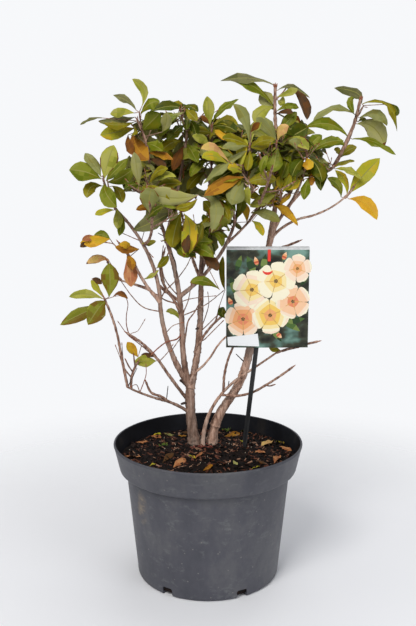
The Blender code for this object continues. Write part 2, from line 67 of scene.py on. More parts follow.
# The setting: a pale floor that fades into a white room, lit softly from above and from the upper left.
# The camera stands 1.17 m in front of the pot and 0.6 m up, and looks slightly down.
CAMERA_PLACE = Vector((0.0, -1.172, 0.605))
CAMERA_PITCH = math.radians(9.57)
CAMERA_LENS, SENSOR = 45.43, 36         # mm, the sensor's long side
FLOOR_RADIUS, FLOOR_HEIGHT = 1.1, -0.5 * MM
FADE_START, FADE_END = 0.22, 0.95       # how far from the middle the floor starts to fade, and where it is gone
ROOM_WHITE, CEILING = (0.93, 0.94, 0.96), (0.42, 0.43, 0.45)
ROOM_LIGHT = 0.48                       # how much of what the room shows falls on the plant


def add_node(owner, kind, settings=None, **links):
    """A node of a finish or the room, with its settings, and with sockets fed from other nodes' outputs."""
    node = owner.node_tree.nodes.new(kind)
    for name, value in (settings or {}).items():
        if name in node.inputs:
            node.inputs[name].default_value = value
        else:
            setattr(node, name, value)
    for name, source in links.items():
        owner.node_tree.links.new(source, node.inputs[name.replace("_", " ")])
    return node


def feed(owner, socket, source, node="Principled BSDF"):
    owner.node_tree.links.new(source, owner.node_tree.nodes[node].inputs[socket])


def spread(owner, source, low, high, start=0.0, end=1.0):
    """A value between start and end, mapped onto a range from low to high."""
    limits = {"From Min": start, "From Max": end, "To Min": low, "To Max": high}
    return add_node(owner, "ShaderNodeMapRange", limits, Value=source).outputs["Result"]


def blend_colours(owner, share, first, second):
    """Two colours mixed by a value. Each is a colour or another node's output."""
    node = add_node(owner, "ShaderNodeMix", {"data_type": "RGBA"}, Factor=share)
    for socket, colour in ((node.inputs[6], first), (node.inputs[7], second)):
        if isinstance(colour, tuple):
            socket.default_value = (*colour, 1)
        else:
            owner.node_tree.links.new(colour, socket)
    return node.outputs[2]


def plain_finish(name, colour, roughness, gloss=0.5):
    """A Principled material with its fixed values on the shader's own sockets."""
    finish = bpy.data.materials.new(name)
    finish.use_nodes = True
    shader = finish.node_tree.nodes["Principled BSDF"]
    shader.inputs["Base Color"].default_value = (*colour, 1)
    shader.inputs["Roughness"].default_value = roughness
    shader.inputs["Specular IOR Level"].default_value = gloss
    finish.diffuse_color = (*colour, 1)
    return finish


def start_piece(add_primitive, name, *finishes, **shape):
    """A primitive, added by its operator and active, with its name and its finishes."""
    bpy.ops.object.select_all(action="DESELECT")
    add_primitive(**shape)
    piece = bpy.context.object
    piece.name = piece.data.name = name
    for finish in finishes:
        piece.data.materials.append(finish)
    return piece


def softbox(name, place, target, size, power, colour):
    """A square soft light at a place, turned towards a target."""
    data = bpy.data.lights.new(name, "AREA")
    data.size, data.energy, data.color = size, power, colour
    lamp = bpy.data.objects.new(name, data)
    lamp.location = place
    lamp.rotation_euler = (Vector(target) - Vector(place)).to_track_quat("-Z", "Y").to_euler()
    bpy.context.collection.objects.link(lamp)


camera_data = bpy.data.cameras.new("camera")
camera_data.lens, camera_data.sensor_width = CAMERA_LENS, SENSOR
camera = bpy.data.objects.new("camera", camera_data)
camera.location = CAMERA_PLACE
camera.rotation_euler = (math.radians(90) - CAMERA_PITCH, 0, 0)
bpy.context.collection.objects.link(camera)
bpy.context.scene.camera = camera
bpy.context.scene.view_settings.view_transform = "Standard"

softbox("key", (-0.75, -1.6, 1.9), (0, 0, 0.45), 1.0, 38, (1.0, 0.98, 0.94))
softbox("fill", (1.7, -1.5, 1.0), (0, 0, 0.4), 1.2, 13, (0.96, 0.98, 1.0))
softbox("top", (0.2, 0.6, 2.2), (0, 0, 0.3), 1.2, 13, (1.0, 1.0, 1.0))

# The room is white all round and below, and darker overhead. It lights the plant less than it shows.
room = bpy.data.worlds.new("room")
room.use_nodes = True
aim = add_node(room, "ShaderNodeTexCoord")
split = add_node(room, "ShaderNodeSeparateXYZ", Vector=aim.outputs["Generated"])
overhead = spread(room, split.outputs["Z"], 0, 1, 0.25, 0.75)
ray = add_node(room, "ShaderNodeLightPath")
feed(room, "Color", blend_colours(room, overhead, ROOM_WHITE, CEILING), "Background")
feed(room, "Strength", spread(room, ray.outputs["Is Camera Ray"], ROOM_LIGHT, 1), "Background")
bpy.context.scene.world = room

floor_finish = plain_finish("floor_paper", (0.92, 0.93, 0.97), 0.6)
from_middle = add_node(floor_finish, "ShaderNodeTexCoord")
distance = add_node(floor_finish, "ShaderNodeVectorMath", {"operation": "LENGTH"},
                    Vector=from_middle.outputs["Object"])
fading = add_node(floor_finish, "ShaderNodeMapRange", {
    "From Min": FADE_START, "From Max": FADE_END, "interpolation_type": "SMOOTHSTEP",
}, Value=distance.outputs["Value"])
clear = add_node(floor_finish, "ShaderNodeBsdfTransparent")
edge = add_node(floor_finish, "ShaderNodeMixShader", Fac=fading.outputs["Result"])
for socket, shader in ((1, floor_finish.node_tree.nodes["Principled BSDF"]), (2, clear)):
    floor_finish.node_tree.links.new(shader.outputs["BSDF"], edge.inputs[socket])
feed(floor_finish, "Surface", edge.outputs["Shader"], "Material Output")
floor = start_piece(bpy.ops.mesh.primitive_circle_add, "floor", floor_finish, vertices=128, radius=FLOOR_RADIUS,
                    fill_type="NGON", location=(0, 0, FLOOR_HEIGHT))

# The pot: one moulding of dark grey polypropylene, with a deep rim band, a step inside it to nest on, and
# drain notches through the foot. It has scuffs, dust, and a dried splash of earth on its left.
POT_SIDES = 144
POT_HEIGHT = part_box("pot")[1].z
RIM_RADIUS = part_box("pot")[1].x
BAND_FOOT_RADIUS, BAND_FOOT = 136.5 * MM, 170 * MM
BODY_TOP_RADIUS, BODY_FOOT_RADIUS = 126 * MM, 110.5 * MM
FOOT_TOP, UNDERSIDE_RADIUS = 11 * MM, 106 * MM
LIP, WALL, POT_FLOOR = 3 * MM, 3 * MM, 4 * MM
STEP_TOP = BAND_FOOT + WALL
DRAIN_COUNT, DRAIN_TURN = 6, math.radians(-33)
DRAIN_WIDTH, DRAIN_DEPTH, DRAIN_HEIGHT, DRAIN_ROUND = 17 * MM, 24 * MM, 13 * MM, 3 * MM
SPLASH_PLACE, SPLASH_SIZE = (-97 * MM, -77 * MM, 129 * MM), (11 * MM, 30 * MM, 34 * MM)


def on_object(finish, stretch=(1, 1, 1), shift=(0, 0, 0)):
    """Object coordinates, stretched along the axes and then moved."""
    place = add_node(finish, "ShaderNodeTexCoord")
    fitted = {"Scale": stretch, "Location": shift}
    return add_node(finish, "ShaderNodeMapping", fitted, Vector=place.outputs["Object"]).outputs["Vector"]


def clouds(finish, scale, detail, rough=0.5, stretch=(1, 1, 1)):
    """A noise pattern on the object."""
    kind = {"Scale": scale, "Detail": detail, "Roughness": rough}
    return add_node(finish, "ShaderNodeTexNoise", kind, Vector=on_object(finish, stretch)).outputs["Fac"]


def patch(finish, centre, size):
    """A soft round patch at a place: 1 in its middle and 0 past its edge."""
    shrink = [1 / side for side in size]
    shift = [-middle / side for middle, side in zip(centre, size)]
    around = on_object(finish, shrink, shift)
    ball = {"gradient_type": "SPHERICAL"}
    return add_node(finish, "ShaderNodeTexGradient", ball, Vector=around).outputs["Fac"]


def ramp(finish, source, *stops):
    """A colour ramp from (position, colour) stops."""
    node = add_node(finish, "ShaderNodeValToRGB", Fac=source)
    band = node.color_ramp
    while len(band.elements) < len(stops):
        band.elements.new(0.5)
    for element, (place, colour) in zip(band.elements, stops):
        element.position = place
        element.color = (*colour, 1)
    return node.outputs["Color"]


def product(finish, *factors):
    node = add_node(finish, "ShaderNodeMath", {"operation": "MULTIPLY"})
    for socket, factor in zip(node.inputs, factors):
        finish.node_tree.links.new(factor, socket)
    return node.outputs["Value"]


def colour_by(finish, source, *stops):
    feed(finish, "Base Color", ramp(finish, source, *stops))


def roughen(finish, source, low, high, end=0.7):
    """Roughness from low to high by a noise pattern, whose values lie mostly between 0.3 and the end."""
    feed(finish, "Roughness", spread(finish, source, low, high, 0.3, end))


def emboss(finish, source, strength, distance):
    """Bump on the shader from a pattern."""
    node = add_node(finish, "ShaderNodeBump", {"Strength": strength, "Distance": distance}, Height=source)
    feed(finish, "Normal", node.outputs["Normal"])


@contextmanager
def editing(selection=None):
    """Edit mode on the active piece, with all of its mesh selected first, or none, or what is picked."""
    bpy.ops.object.mode_set(mode="EDIT")
    if selection:
        bpy.ops.mesh.select_all(action=selection)
    yield
    bpy.ops.object.mode_set(mode="OBJECT")


def hang(piece, nodes):
    """Hangs a piece on the frame, in place of its nodes."""
    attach(piece, "root")
    if nodes:
        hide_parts(*nodes)


def settle_piece(piece, slot, *nodes, smooth_angle=35):
    """Bakes the piece's place into its mesh, smooths it, and hangs it on the frame."""
    bpy.ops.object.select_all(action="DESELECT")
    bpy.context.view_layer.objects.active = piece
    piece.select_set(True)
    bpy.ops.object.transform_apply(location=True, rotation=True, scale=True)
    bpy.ops.object.shade_smooth_by_angle(angle=math.radians(smooth_angle))
    hang(piece, nodes)
    piece.select_set(False)


def set_scale(piece, scale):
    """Gives a unit primitive its size in its mesh."""
    piece.scale = scale
    bpy.ops.object.transform_apply(location=False, rotation=False, scale=True)


def turn_profile(steps):
    """Extrudes the active disc through (radius, height) steps, from its own radius, to a closed body."""
    with editing("SELECT"):
        for (radius, height), (next_radius, next_height) in zip(steps, steps[1:]):
            bpy.ops.mesh.extrude_region_move(TRANSFORM_OT_translate={"value": (0, 0, next_height - height)})
            ratio = next_radius / radius
            bpy.ops.transform.resize(value=(ratio, ratio, 1), center_override=(0, 0, next_height))
        bpy.ops.mesh.select_all(action="SELECT")
        bpy.ops.mesh.normals_make_consistent(inside=False)


def inner_radius(height):
    """The pot's inside: the tapering body below the step, and the rim band above it."""
    if height < BAND_FOOT:
        share = (height - FOOT_TOP) / (BAND_FOOT - FOOT_TOP)
        return BODY_FOOT_RADIUS + (BODY_TOP_RADIUS - BODY_FOOT_RADIUS) * share - WALL
    share = (height - BAND_FOOT) / (POT_HEIGHT - BAND_FOOT)
    return BAND_FOOT_RADIUS + (RIM_RADIUS - BAND_FOOT_RADIUS) * share - WALL


pot_finish = plain_finish("pot_plastic", (0.062, 0.064, 0.078), 0.5)
mottle = clouds(pot_finish, 13, 8, 0.7, (1, 1, 0.6))
scuffs = clouds(pot_finish, 52, 10, 0.7, (1, 1, 1.9))
specks = add_node(pot_finish, "ShaderNodeTexVoronoi", {"Scale": 75}, Vector=on_object(pot_finish))
grey = ramp(pot_finish, mottle, (0.32, (0.040, 0.042, 0.056)), (0.50, (0.060, 0.061, 0.077)),
            (0.68, (0.096, 0.097, 0.106)))
scuffed = blend_colours(pot_finish, spread(pot_finish, scuffs, 0, 0.6, 0.55, 0.76), grey, (0.18, 0.19, 0.19))
dust = spread(pot_finish, specks.outputs["Distance"], 0.85, 0, 0.03, 0.11)
dusty = blend_colours(pot_finish, dust, scuffed, (0.19, 0.18, 0.17))
splash = product(pot_finish, spread(pot_finish, patch(pot_finish, SPLASH_PLACE, SPLASH_SIZE), 0, 1, 0.1, 0.6),
                 spread(pot_finish, scuffs, 0, 0.75, 0.42, 0.6))
feed(pot_finish, "Base Color", blend_colours(pot_finish, splash, dusty, (0.24, 0.19, 0.13)))
roughen(pot_finish, scuffs, 0.42, 0.62, 0.8)
emboss(pot_finish, clouds(pot_finish, 900, 3), 0.10, 0.3 * MM)

# The inside of the wall gets a near-black finish with a faint mottle: painted shade for the recess within the
# rim.
shaded_inner_finish = plain_finish("pot_inside", (0.016, 0.017, 0.022), 0.6, 0.15)
colour_by(shaded_inner_finish, clouds(shaded_inner_finish, 24, 6), (0.35, (0.004, 0.004, 0.006)),
          (0.60, (0.009, 0.010, 0.014)), (0.75, (0.030, 0.026, 0.024)))

pot = start_piece(bpy.ops.mesh.primitive_circle_add, "pot_moulding", pot_finish, shaded_inner_finish,
                  vertices=POT_SIDES, radius=UNDERSIDE_RADIUS, fill_type="NGON")
turn_profile([
    (UNDERSIDE_RADIUS, 0),
    (BODY_FOOT_RADIUS - 1.6 * MM, 1.2 * MM),
    (BODY_FOOT_RADIUS - 0.6 * MM, 0.35 * FOOT_TOP),
    (BODY_FOOT_RADIUS, FOOT_TOP),
    (BODY_TOP_RADIUS - 0.8 * MM, BAND_FOOT - 4 * LIP),
    (BODY_TOP_RADIUS, BAND_FOOT - LIP),
    (BAND_FOOT_RADIUS - 2 * LIP, BAND_FOOT - 1.1 * LIP),
    (BAND_FOOT_RADIUS - LIP, BAND_FOOT - LIP),
    (BAND_FOOT_RADIUS - 0.3 * LIP, BAND_FOOT - 0.5 * LIP),
    (BAND_FOOT_RADIUS, BAND_FOOT + 0.3 * LIP),
    (RIM_RADIUS - 0.25 * LIP, POT_HEIGHT - 1.4 * LIP),
    (RIM_RADIUS, POT_HEIGHT - 1.1 * LIP),
    (RIM_RADIUS, POT_HEIGHT - 0.5 * LIP),
    (RIM_RADIUS - 0.15 * LIP, POT_HEIGHT - 0.15 * LIP),
    (RIM_RADIUS - 0.4 * LIP, POT_HEIGHT),
    (RIM_RADIUS - 0.7 * LIP, POT_HEIGHT),
    (RIM_RADIUS - 0.95 * LIP, POT_HEIGHT - 0.2 * LIP),
    (inner_radius(STEP_TOP), STEP_TOP),
    (inner_radius(BAND_FOOT - LIP), STEP_TOP),
    (inner_radius(POT_FLOOR), POT_FLOOR),
])
# Faces inside the wall, below the rim, take the painted-shade finish.
for face in pot.data.polygons:
    inward = face.normal.x * face.center.x + face.normal.y * face.center.y < -0.3 * abs(face.center.xy.length)
    face.material_index = 1 if inward and face.center.z < POT_HEIGHT - LIP else 0

drains = []
for number in range(DRAIN_COUNT):
    turn = DRAIN_TURN + number * math.tau / DRAIN_COUNT
    place = Vector((math.sin(turn), -math.cos(turn), 0)) * BODY_FOOT_RADIUS
    drain = start_piece(bpy.ops.mesh.primitive_cube_add, "drain", size=1, location=place, rotation=(0, 0, turn))
    set_scale(drain, (DRAIN_WIDTH, DRAIN_DEPTH, 2 * DRAIN_HEIGHT))
    with editing("SELECT"):
        bpy.ops.mesh.bevel(offset=DRAIN_ROUND, segments=3, affect="EDGES")
    drains.append(drain)
for drain in drains:
    drain.select_set(True)
bpy.context.view_layer.objects.active = drains[0]
bpy.ops.object.join()
bpy.context.view_layer.objects.active = pot
notch = pot.modifiers.new("notch", "BOOLEAN")
notch.object = drains[0]
bpy.ops.object.modifier_apply(modifier="notch")
bpy.data.objects.remove(drains[0])
settle_piece(pot, "pot", "pot")

# The growing mix: composted bark and peat, heaped a little in the middle and settled at the pot's wall. It is
# one lumpy body, with loose chips of bark and white perlite lying on it.
SOIL_LEVEL, SOIL_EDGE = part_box("growing_mix")[1].z, 185 * MM
SOIL_CROWN_RADIUS, SOIL_GAP, SOIL_RINGS = 62 * MM, 0.45 * MM, 46
SOIL_SINK = 2.8                         # mm, how far the lumps lie below the frame's mix on the whole
CHIP_COUNT, CHIP_WEIGHTS, PERLITE_COUNT = 2100, (6, 4, 2.8, 0.9), 80
FLAKE_COUNT, FLAKE_MIDDLE, FLAKE_SPREAD = 46, (-8 * MM, 12 * MM), (17 * MM, 7 * MM)
WIDE_END, NARROW_END = 0.8, 0.5         # of a chip's width
BLOCK_FACES = ((3, 2, 1, 0), (4, 5, 6, 7), (0, 1, 5, 4), (1, 2, 6, 5), (2, 3, 7, 6), (3, 0, 4, 7))
soil_edge = inner_radius(SOIL_EDGE) - SOIL_GAP
soil_foot = inner_radius(POT_FLOOR + SOIL_GAP) - SOIL_GAP


def soil_height(x, y):
    """The mix's top at a place: a flat crown, a slope to the wall, and lumps."""
    share = min(max((math.hypot(x, y) - SOIL_CROWN_RADIUS) / (soil_edge - SOIL_CROWN_RADIUS), 0), 1)
    lumps = noise.noise(Vector((x, y, 0)) * 70) * 2.4 + noise.noise(Vector((x, y, 5)) * 190) * 1.5
    return SOIL_LEVEL + (SOIL_EDGE - SOIL_LEVEL) * share + (lumps - SOIL_SINK) * MM


soil_finish = plain_finish("bark_mix", (0.015, 0.009, 0.006), 0.9, 0.2)
clods = clouds(soil_finish, 220, 6, 0.7)
colour_by(soil_finish, clods, (0.40, (0.003, 0.002, 0.0015)), (0.56, (0.011, 0.005, 0.004)),
          (0.75, (0.05, 0.021, 0.013)))
roughen(soil_finish, clods, 0.6, 0.95)
emboss(soil_finish, clods, 0.6, 2 * MM)

soil = start_piece(bpy.ops.mesh.primitive_circle_add, "bark_mix_body", soil_finish, vertices=POT_SIDES,
                   radius=soil_foot, fill_type="NGON", location=(0, 0, POT_FLOOR + SOIL_GAP))
turn_profile([
    (soil_foot, POT_FLOOR + SOIL_GAP),
    (inner_radius(BAND_FOOT - LIP) - SOIL_GAP, STEP_TOP + SOIL_GAP),
    (inner_radius(STEP_TOP) - SOIL_GAP, STEP_TOP + SOIL_GAP),
    (soil_edge, SOIL_EDGE - 2 * MM),
    *[(soil_edge * (1 - ring / SOIL_RINGS), SOIL_EDGE) for ring in range(1, SOIL_RINGS)],
])
for corner in soil.data.vertices:
    x, y, z = corner.co + soil.location
    if z > SOIL_EDGE - 3 * MM:
        corner.co.z = soil_height(x, y) - soil.location.z
settle_piece(soil, "growing_mix", "growing_mix", smooth_angle=60)


class Cluster:
    """Many small closed shapes, gathered as arrays for one piece, with a finish for each face."""

    def __init__(self):
        self.corners, self.faces, self.which, self.finishes = [], [], [], {}

    def add_face(self, corners, finish):
        self.faces.append(tuple(corners))
        self.which.append(self.finishes.setdefault(finish, len(self.finishes)))

    def add_shape(self, corners, faces, *finishes):
        """Corners, and faces that count them from nought, in one finish or one for each face."""
        start = len(self.corners)
        self.corners += corners
        for face, finish in zip(faces, finishes if len(finishes) > 1 else finishes * len(faces)):
            self.add_face([start + corner for corner in face], finish)

    def settle(self, name, slot, *nodes, smooth_angle=50):
        """Makes the piece, smooth below an angle, and hangs it on the frame."""
        data = bpy.data.meshes.new(name)
        data.from_pydata(self.corners, [], self.faces)
        for finish in self.finishes:
            data.materials.append(finish)
        data.polygons.foreach_set("material_index", self.which)
        data.update()
        if smooth_angle:
            data.shade_smooth()
            data.set_sharp_from_angle(angle=math.radians(smooth_angle))
        piece = bpy.data.objects.new(name, data)
        bpy.context.collection.objects.link(piece)
        hang(piece, nodes)


def dropped_block(spot, lift, tilt, size, draw):
    """The corners of a block, narrower at one end and off true, that lies on the mix at a random tilt."""
    place = Vector((*spot, soil_height(*spot) + lift))
    turn = Matrix.Rotation(draw.uniform(0, math.tau), 3, "Z")
    for axis in "YX":
        turn = turn @ Matrix.Rotation(draw.uniform(-tilt, tilt), 3, axis)
    corners = []
    for x, width in ((-1, WIDE_END), (1, NARROW_END)):
        for y, z in ((-1, -1), (1, -1), (1, 1), (-1, 1)):
            narrow = width * draw.uniform(0.7, 1.2)
            corners.append(place + turn @ Vector((x * size[0], y * size[1] * narrow, z * size[2] * narrow)) / 2)
    return corners


def place_on_mix(draw, margin):
    radius, azimuth = math.sqrt(draw.random()) * (soil_edge - margin), draw.uniform(0, math.tau)
    return radius * math.cos(azimuth), radius * math.sin(azimuth)


chip_finishes = [
    plain_finish("chip_black", (0.003, 0.002, 0.0018), 0.7, 0.2),
    plain_finish("chip_dark", (0.015, 0.006, 0.004), 0.6, 0.2),
    plain_finish("chip_brown", (0.12, 0.043, 0.025), 0.5, 0.2),
    plain_finish("chip_tan", (0.31, 0.17, 0.11), 0.6, 0.2),
]
draw = random.Random(41)
chips, perlite, flakes = Cluster(), Cluster(), Cluster()
for number in range(CHIP_COUNT):
    spot = place_on_mix(draw, 5 * MM)
    length = draw.uniform(3, 11) * MM * (1.6 if draw.random() < 0.12 else 1)
    size = (length, length * draw.uniform(0.16, 0.5), draw.uniform(0.8, 2.4) * MM)
    corners = dropped_block(spot, 0.5 * MM, 0.7, size, draw)
    chips.add_shape(corners, BLOCK_FACES, draw.choices(chip_finishes, CHIP_WEIGHTS)[0])
chips.settle("bark_chips", "growing_mix", smooth_angle=0)

perlite_finish = plain_finish("perlite", (0.46, 0.41, 0.32), 0.8)
for number in range(PERLITE_COUNT):
    spot = place_on_mix(draw, 6 * MM)
    crumb = draw.uniform(0.5, 1.4) * MM
    corners = dropped_block(spot, 1.4 * MM, 1.5, (crumb * 1.3, crumb, crumb), draw)
    perlite.add_shape(corners, BLOCK_FACES, perlite_finish)
perlite.settle("perlite_grains", "growing_mix", smooth_angle=0)

# Red-brown flakes shed round the feet of the stems.
flake_finish = plain_finish("red_flake", (0.20, 0.042, 0.026), 0.7)
for number in range(FLAKE_COUNT):
    spot = [draw.gauss(middle, width * 0.5) for middle, width in zip(FLAKE_MIDDLE, FLAKE_SPREAD)]
    size = (draw.uniform(3, 7) * MM, draw.uniform(1.5, 3) * MM, 0.9 * MM)
    flakes.add_shape(dropped_block(spot, 1.6 * MM, 0.6, size, draw), BLOCK_FACES, flake_finish)
flakes.settle("red_flakes", "growing_mix", smooth_angle=0)

# Stems and boughs: woody limbs that fork from three stems, under thin brown bark that peels in grey flakes low
# down. Each limb's wood runs on into its parent, with a swollen collar at the fork and rings at old leaf scars.
Limb = namedtuple("Limb", "name parent at length headings foot tip")
STEM_FEET = {
    "trunk": Vector((-21, 28, 195)) * MM,
    "middle_stem": Vector((-8, 19, 195)) * MM,
    "right_stem": Vector((6, 34, 195)) * MM,
}
# Where each limb leaves its parent, as a share of the parent's length, then its own length in mm, its headings
# as azimuth from +X towards +Y and rise above level in degrees, and its radii in mm at foot and tip.
LIMBS = [
    Limb("trunk", None, 0, 90, [(186, 79), (172, 92)], 8.6, 7.6),
    Limb("middle_stem", None, 0, 195, [(86, 88), (5, 60), (5, 33), (-10, 37)], 3.2, 1.4),
    Limb("right_stem", None, 0, 353, [(24, 83), (6, 53), (12, 76), (22, 80), (24, 80), (7, 76)], 7.6, 4.8),
    Limb("centre_bough", "trunk", 1.0, 262, [(30, 72), (59, 83), (91, 79), (41, 74)], 6.0, 2.8),
    Limb("left_fork", "trunk", 0.97, 359,
         [(-143, 72), (-92, 84), (-128, 75), (-154, 68), (-75, 84)], 5.2, 1.9),
    Limb("left_bough", "trunk", 1.0, 311,
         [(-141, 54), (-146, 68), (-97, 77), (-156, 64), (-162, 44)], 4.4, 2.0),
    Limb("low_bough", "trunk", 0.73, 90, [(-142, 49), (-161, 58)], 3.0, 2.2),
    Limb("low_left", "trunk", 0.53, 122, [(-142, 40), (-151, 21), (-155, 30)], 2.8, 1.5),
    Limb("front_twig", "trunk", 0.99, 125, [(-100, 55), (-20, 43), (13, 58), (20, 24)], 2.1, 1.3),
    Limb("cross_bough", "left_fork", 0.425, 191, [(-5, 36), (37, 51), (-88, 75)], 3.3, 2.0),
    Limb("mid_top", "left_fork", 0.686, 131, [(62, 58), (47, 78)], 2.7, 1.8),
    Limb("centre_right", "cross_bough", 0.57, 83, [(29, 34), (-33, 52)], 2.0, 1.5),
    Limb("left_outer", "left_bough", 0.5, 65, [(-161, 46), (-139, 62)], 2.8, 2.0),
    Limb("left_lower", "left_outer", 0.38, 46, [(162, 17), (170, 13)], 2.1, 1.5),
    Limb("leader", "right_stem", 1.0, 120, [(28, 83), (-99, 84)], 3.4, 2.0),
    Limb("right_rise", "right_stem", 0.984, 136, [(-8, 64), (-12, 31)], 2.9, 1.8),
    Limb("right_fork", "right_rise", 0.33, 71, [(-46, 50), (-67, 65)], 2.4, 1.7),
    Limb("right_reach", "right_stem", 0.955, 130, [(-22, 50), (-13, 14), (-19, 41)], 2.2, 1.4),
    Limb("back_left", "centre_bough", 0.645, 122, [(124, 50), (103, 51)], 2.7, 1.7),
    Limb("back_right", "centre_bough", 0.70, 122, [(63, 45), (78, 61)], 2.7, 1.7),
    Limb("back_stem", "right_stem", 0.746, 155, [(76, 55), (67, 60)], 3.0, 1.8),
]
LIMB_STEP, RING_STEP = 18 * MM, 2.2 * MM
THICK_FOOT, THICK_SIDES, THIN_SIDES = 4, 18, 12     # corners round a limb, by its radius in mm at the foot
FLARE = {"trunk": 3.4 * MM, "right_stem": 2.2 * MM, "middle_stem": 1.0 * MM}
FLARE_HEIGHT, BURIED = 13 * MM, 5 * MM
COLLAR, COLLAR_LENGTH = 0.55, 7 * MM    # how much a limb swells at its fork, and over what length
SCAR_SWELL, SCAR_LENGTH = 0.11, 1.4 * MM
CRACK_EDGE = 0.16


def heading(azimuth, rise):
    azimuth, rise = math.radians(azimuth), math.radians(rise)
    return Vector((math.cos(rise) * math.cos(azimuth), math.cos(rise) * math.sin(azimuth), math.sin(rise)))


def course(start, length, headings, steps):
    """Points along a limb that turns evenly from heading to heading."""
    points = [start.copy()]
    for number in range(steps):
        share = (number + 0.5) / steps * (len(headings) - 1)
        first = min(int(share), len(headings) - 2)
        along = headings[first].lerp(headings[first + 1], share - first).normalized()
        points.append(points[-1] + along * length / steps)
    return points


def point_at(points, share):
    place = share * (len(points) - 1)
    first = min(int(place), len(points) - 2)
    return points[first].lerp(points[first + 1], place - first)


def direction_at(points, share):
    first = min(int(share * (len(points) - 1)), len(points) - 2)
    return (points[first + 1] - points[first]).normalized()


def square_to(along):
    """Any unit vector at right angles to a direction, the same one each time."""
    aside = along.cross(Vector((0, 0, 1))) if abs(along.z) < 0.9 else along.cross(Vector((1, 0, 0)))
    return aside.normalized()


def rounded(points, step):
    """A smooth curve through the points, with a point about every step."""
    curve = []
    for number in range(len(points) - 1):
        a, b = points[max(number - 1, 0)], points[number]
        c, d = points[number + 1], points[min(number + 2, len(points) - 1)]
        count = max(2, round((c - b).length / step))
        for part in range(count):
            t = part / count
            curve.append(0.5 * (2 * b + (c - a) * t + (2 * a - 5 * b + 4 * c - d) * t * t
                                + (3 * b - a - 3 * c + d) * t * t * t))
    return [*curve, points[-1].copy()]


def add_tube(cluster, finish, points, radii, sides, grain=None):
    """A closed tube along the points. The grain lifts each corner by its place and its turn."""
    aside = square_to(direction_at(points, 0))
    corners, faces, rings = [], [], len(points)
    for number, (point, radius) in enumerate(zip(points, radii)):
        ahead = (points[min(number + 1, rings - 1)] - points[max(number - 1, 0)]).normalized()
        aside = (aside - ahead * aside.dot(ahead)).normalized()
        other = ahead.cross(aside)
        for side in range(sides):
            turn = math.tau * side / sides
            out = aside * math.cos(turn) + other * math.sin(turn)
            corners.append(point + out * (radius + (grain(point, out, radius, number) if grain else 0)))
    for low in range(0, (rings - 1) * sides, sides):
        for side in range(sides):
            after = (side + 1) % sides
            faces.append((low + side, low + after, low + sides + after, low + sides + side))
    faces += [range(sides - 1, -1, -1), range((rings - 1) * sides, rings * sides)]
    cluster.add_shape(corners, faces, finish)


def bark_relief(thick):
    """Lengthwise cracks, flakes and soft lumps in the bark, deeper on thick wood."""
    deep = min(thick / (6 * MM), 1)

    def lift(point, out, radius, ring):
        spot = point + out * radius
        crack = abs(noise.noise(Vector((spot.x * 420, spot.y * 420, spot.z * 75))))
        flake = noise.noise(spot * 210)
        lump = noise.noise(spot * 48 + Vector((3, 1, 7)))
        depth = -1.0 * deep * max(0, CRACK_EDGE - crack) / CRACK_EDGE
        return (depth + 0.42 * deep * flake + 0.10 * radius / MM * lump) * MM
    return lift


def limb_radii(limb, points):
    """Radii with the flare or collar at the foot, the taper, and a ring at each old leaf scar."""
    draw = random.Random(limb.name)
    length = limb.length * MM
    scars = [place * length for place in (draw.random() for _ in range(max(3, int(limb.length / 16))))]
    radii = []
    for number, point in enumerate(points):
        share = number / (len(points) - 1)
        radius = (limb.foot + (limb.tip - limb.foot) * share) * MM
        if limb.parent is None:
            radius += FLARE[limb.name] * math.exp(-(point.z - points[0].z) / FLARE_HEIGHT)
        else:
            radius *= 1 + COLLAR * math.exp(-share * length / COLLAR_LENGTH)
        swell = sum(SCAR_SWELL * math.exp(-((share * length - scar) / SCAR_LENGTH) ** 2) for scar in scars)
        radii.append(radius * (1 + swell))
    return radii


def bark(name, age, shade):
    """Streaked brown bark with pale bald patches, so much dark flaking low down, and so light a shade, partly
    painted sun and shade.
    """
    finish = plain_finish(name, (0.42, 0.28, 0.21), 0.85)
    streaks = clouds(finish, 170, 8, 0.68, (1, 1, 0.16))
    patches = clouds(finish, 34, 5, 0.6, (1, 1, 0.5))
    flakes = clouds(finish, 130, 9, 0.75, (1, 1, 0.45))
    stops = ((0.30, (0.055, 0.026, 0.018)), (0.43, (0.25, 0.135, 0.092)), (0.55, (0.50, 0.315, 0.235)),
             (0.72, (0.72, 0.54, 0.45)))
    brown = ramp(finish, streaks, *[(place, tuple(side * shade for side in colour)) for place, colour in stops])
    place = add_node(finish, "ShaderNodeTexCoord")
    height = add_node(finish, "ShaderNodeSeparateXYZ", Vector=place.outputs["Object"]).outputs["Z"]
    low_down, flaking = spread(finish, height, 1, 0, 0.20, 0.31), spread(finish, flakes, 0, age, 0.40, 0.62)
    old_wood = product(finish, low_down, flaking)
    aged = blend_colours(finish, old_wood, brown, (0.075, 0.046, 0.032))
    bald = tuple(side * shade for side in (0.50, 0.39, 0.325))
    feed(finish, "Base Color", blend_colours(finish, spread(finish, patches, 0, 0.6, 0.50, 0.64), aged, bald))
    roughen(finish, streaks, 0.7, 0.95)
    emboss(finish, streaks, 0.9, 1.8 * MM)
    return finish


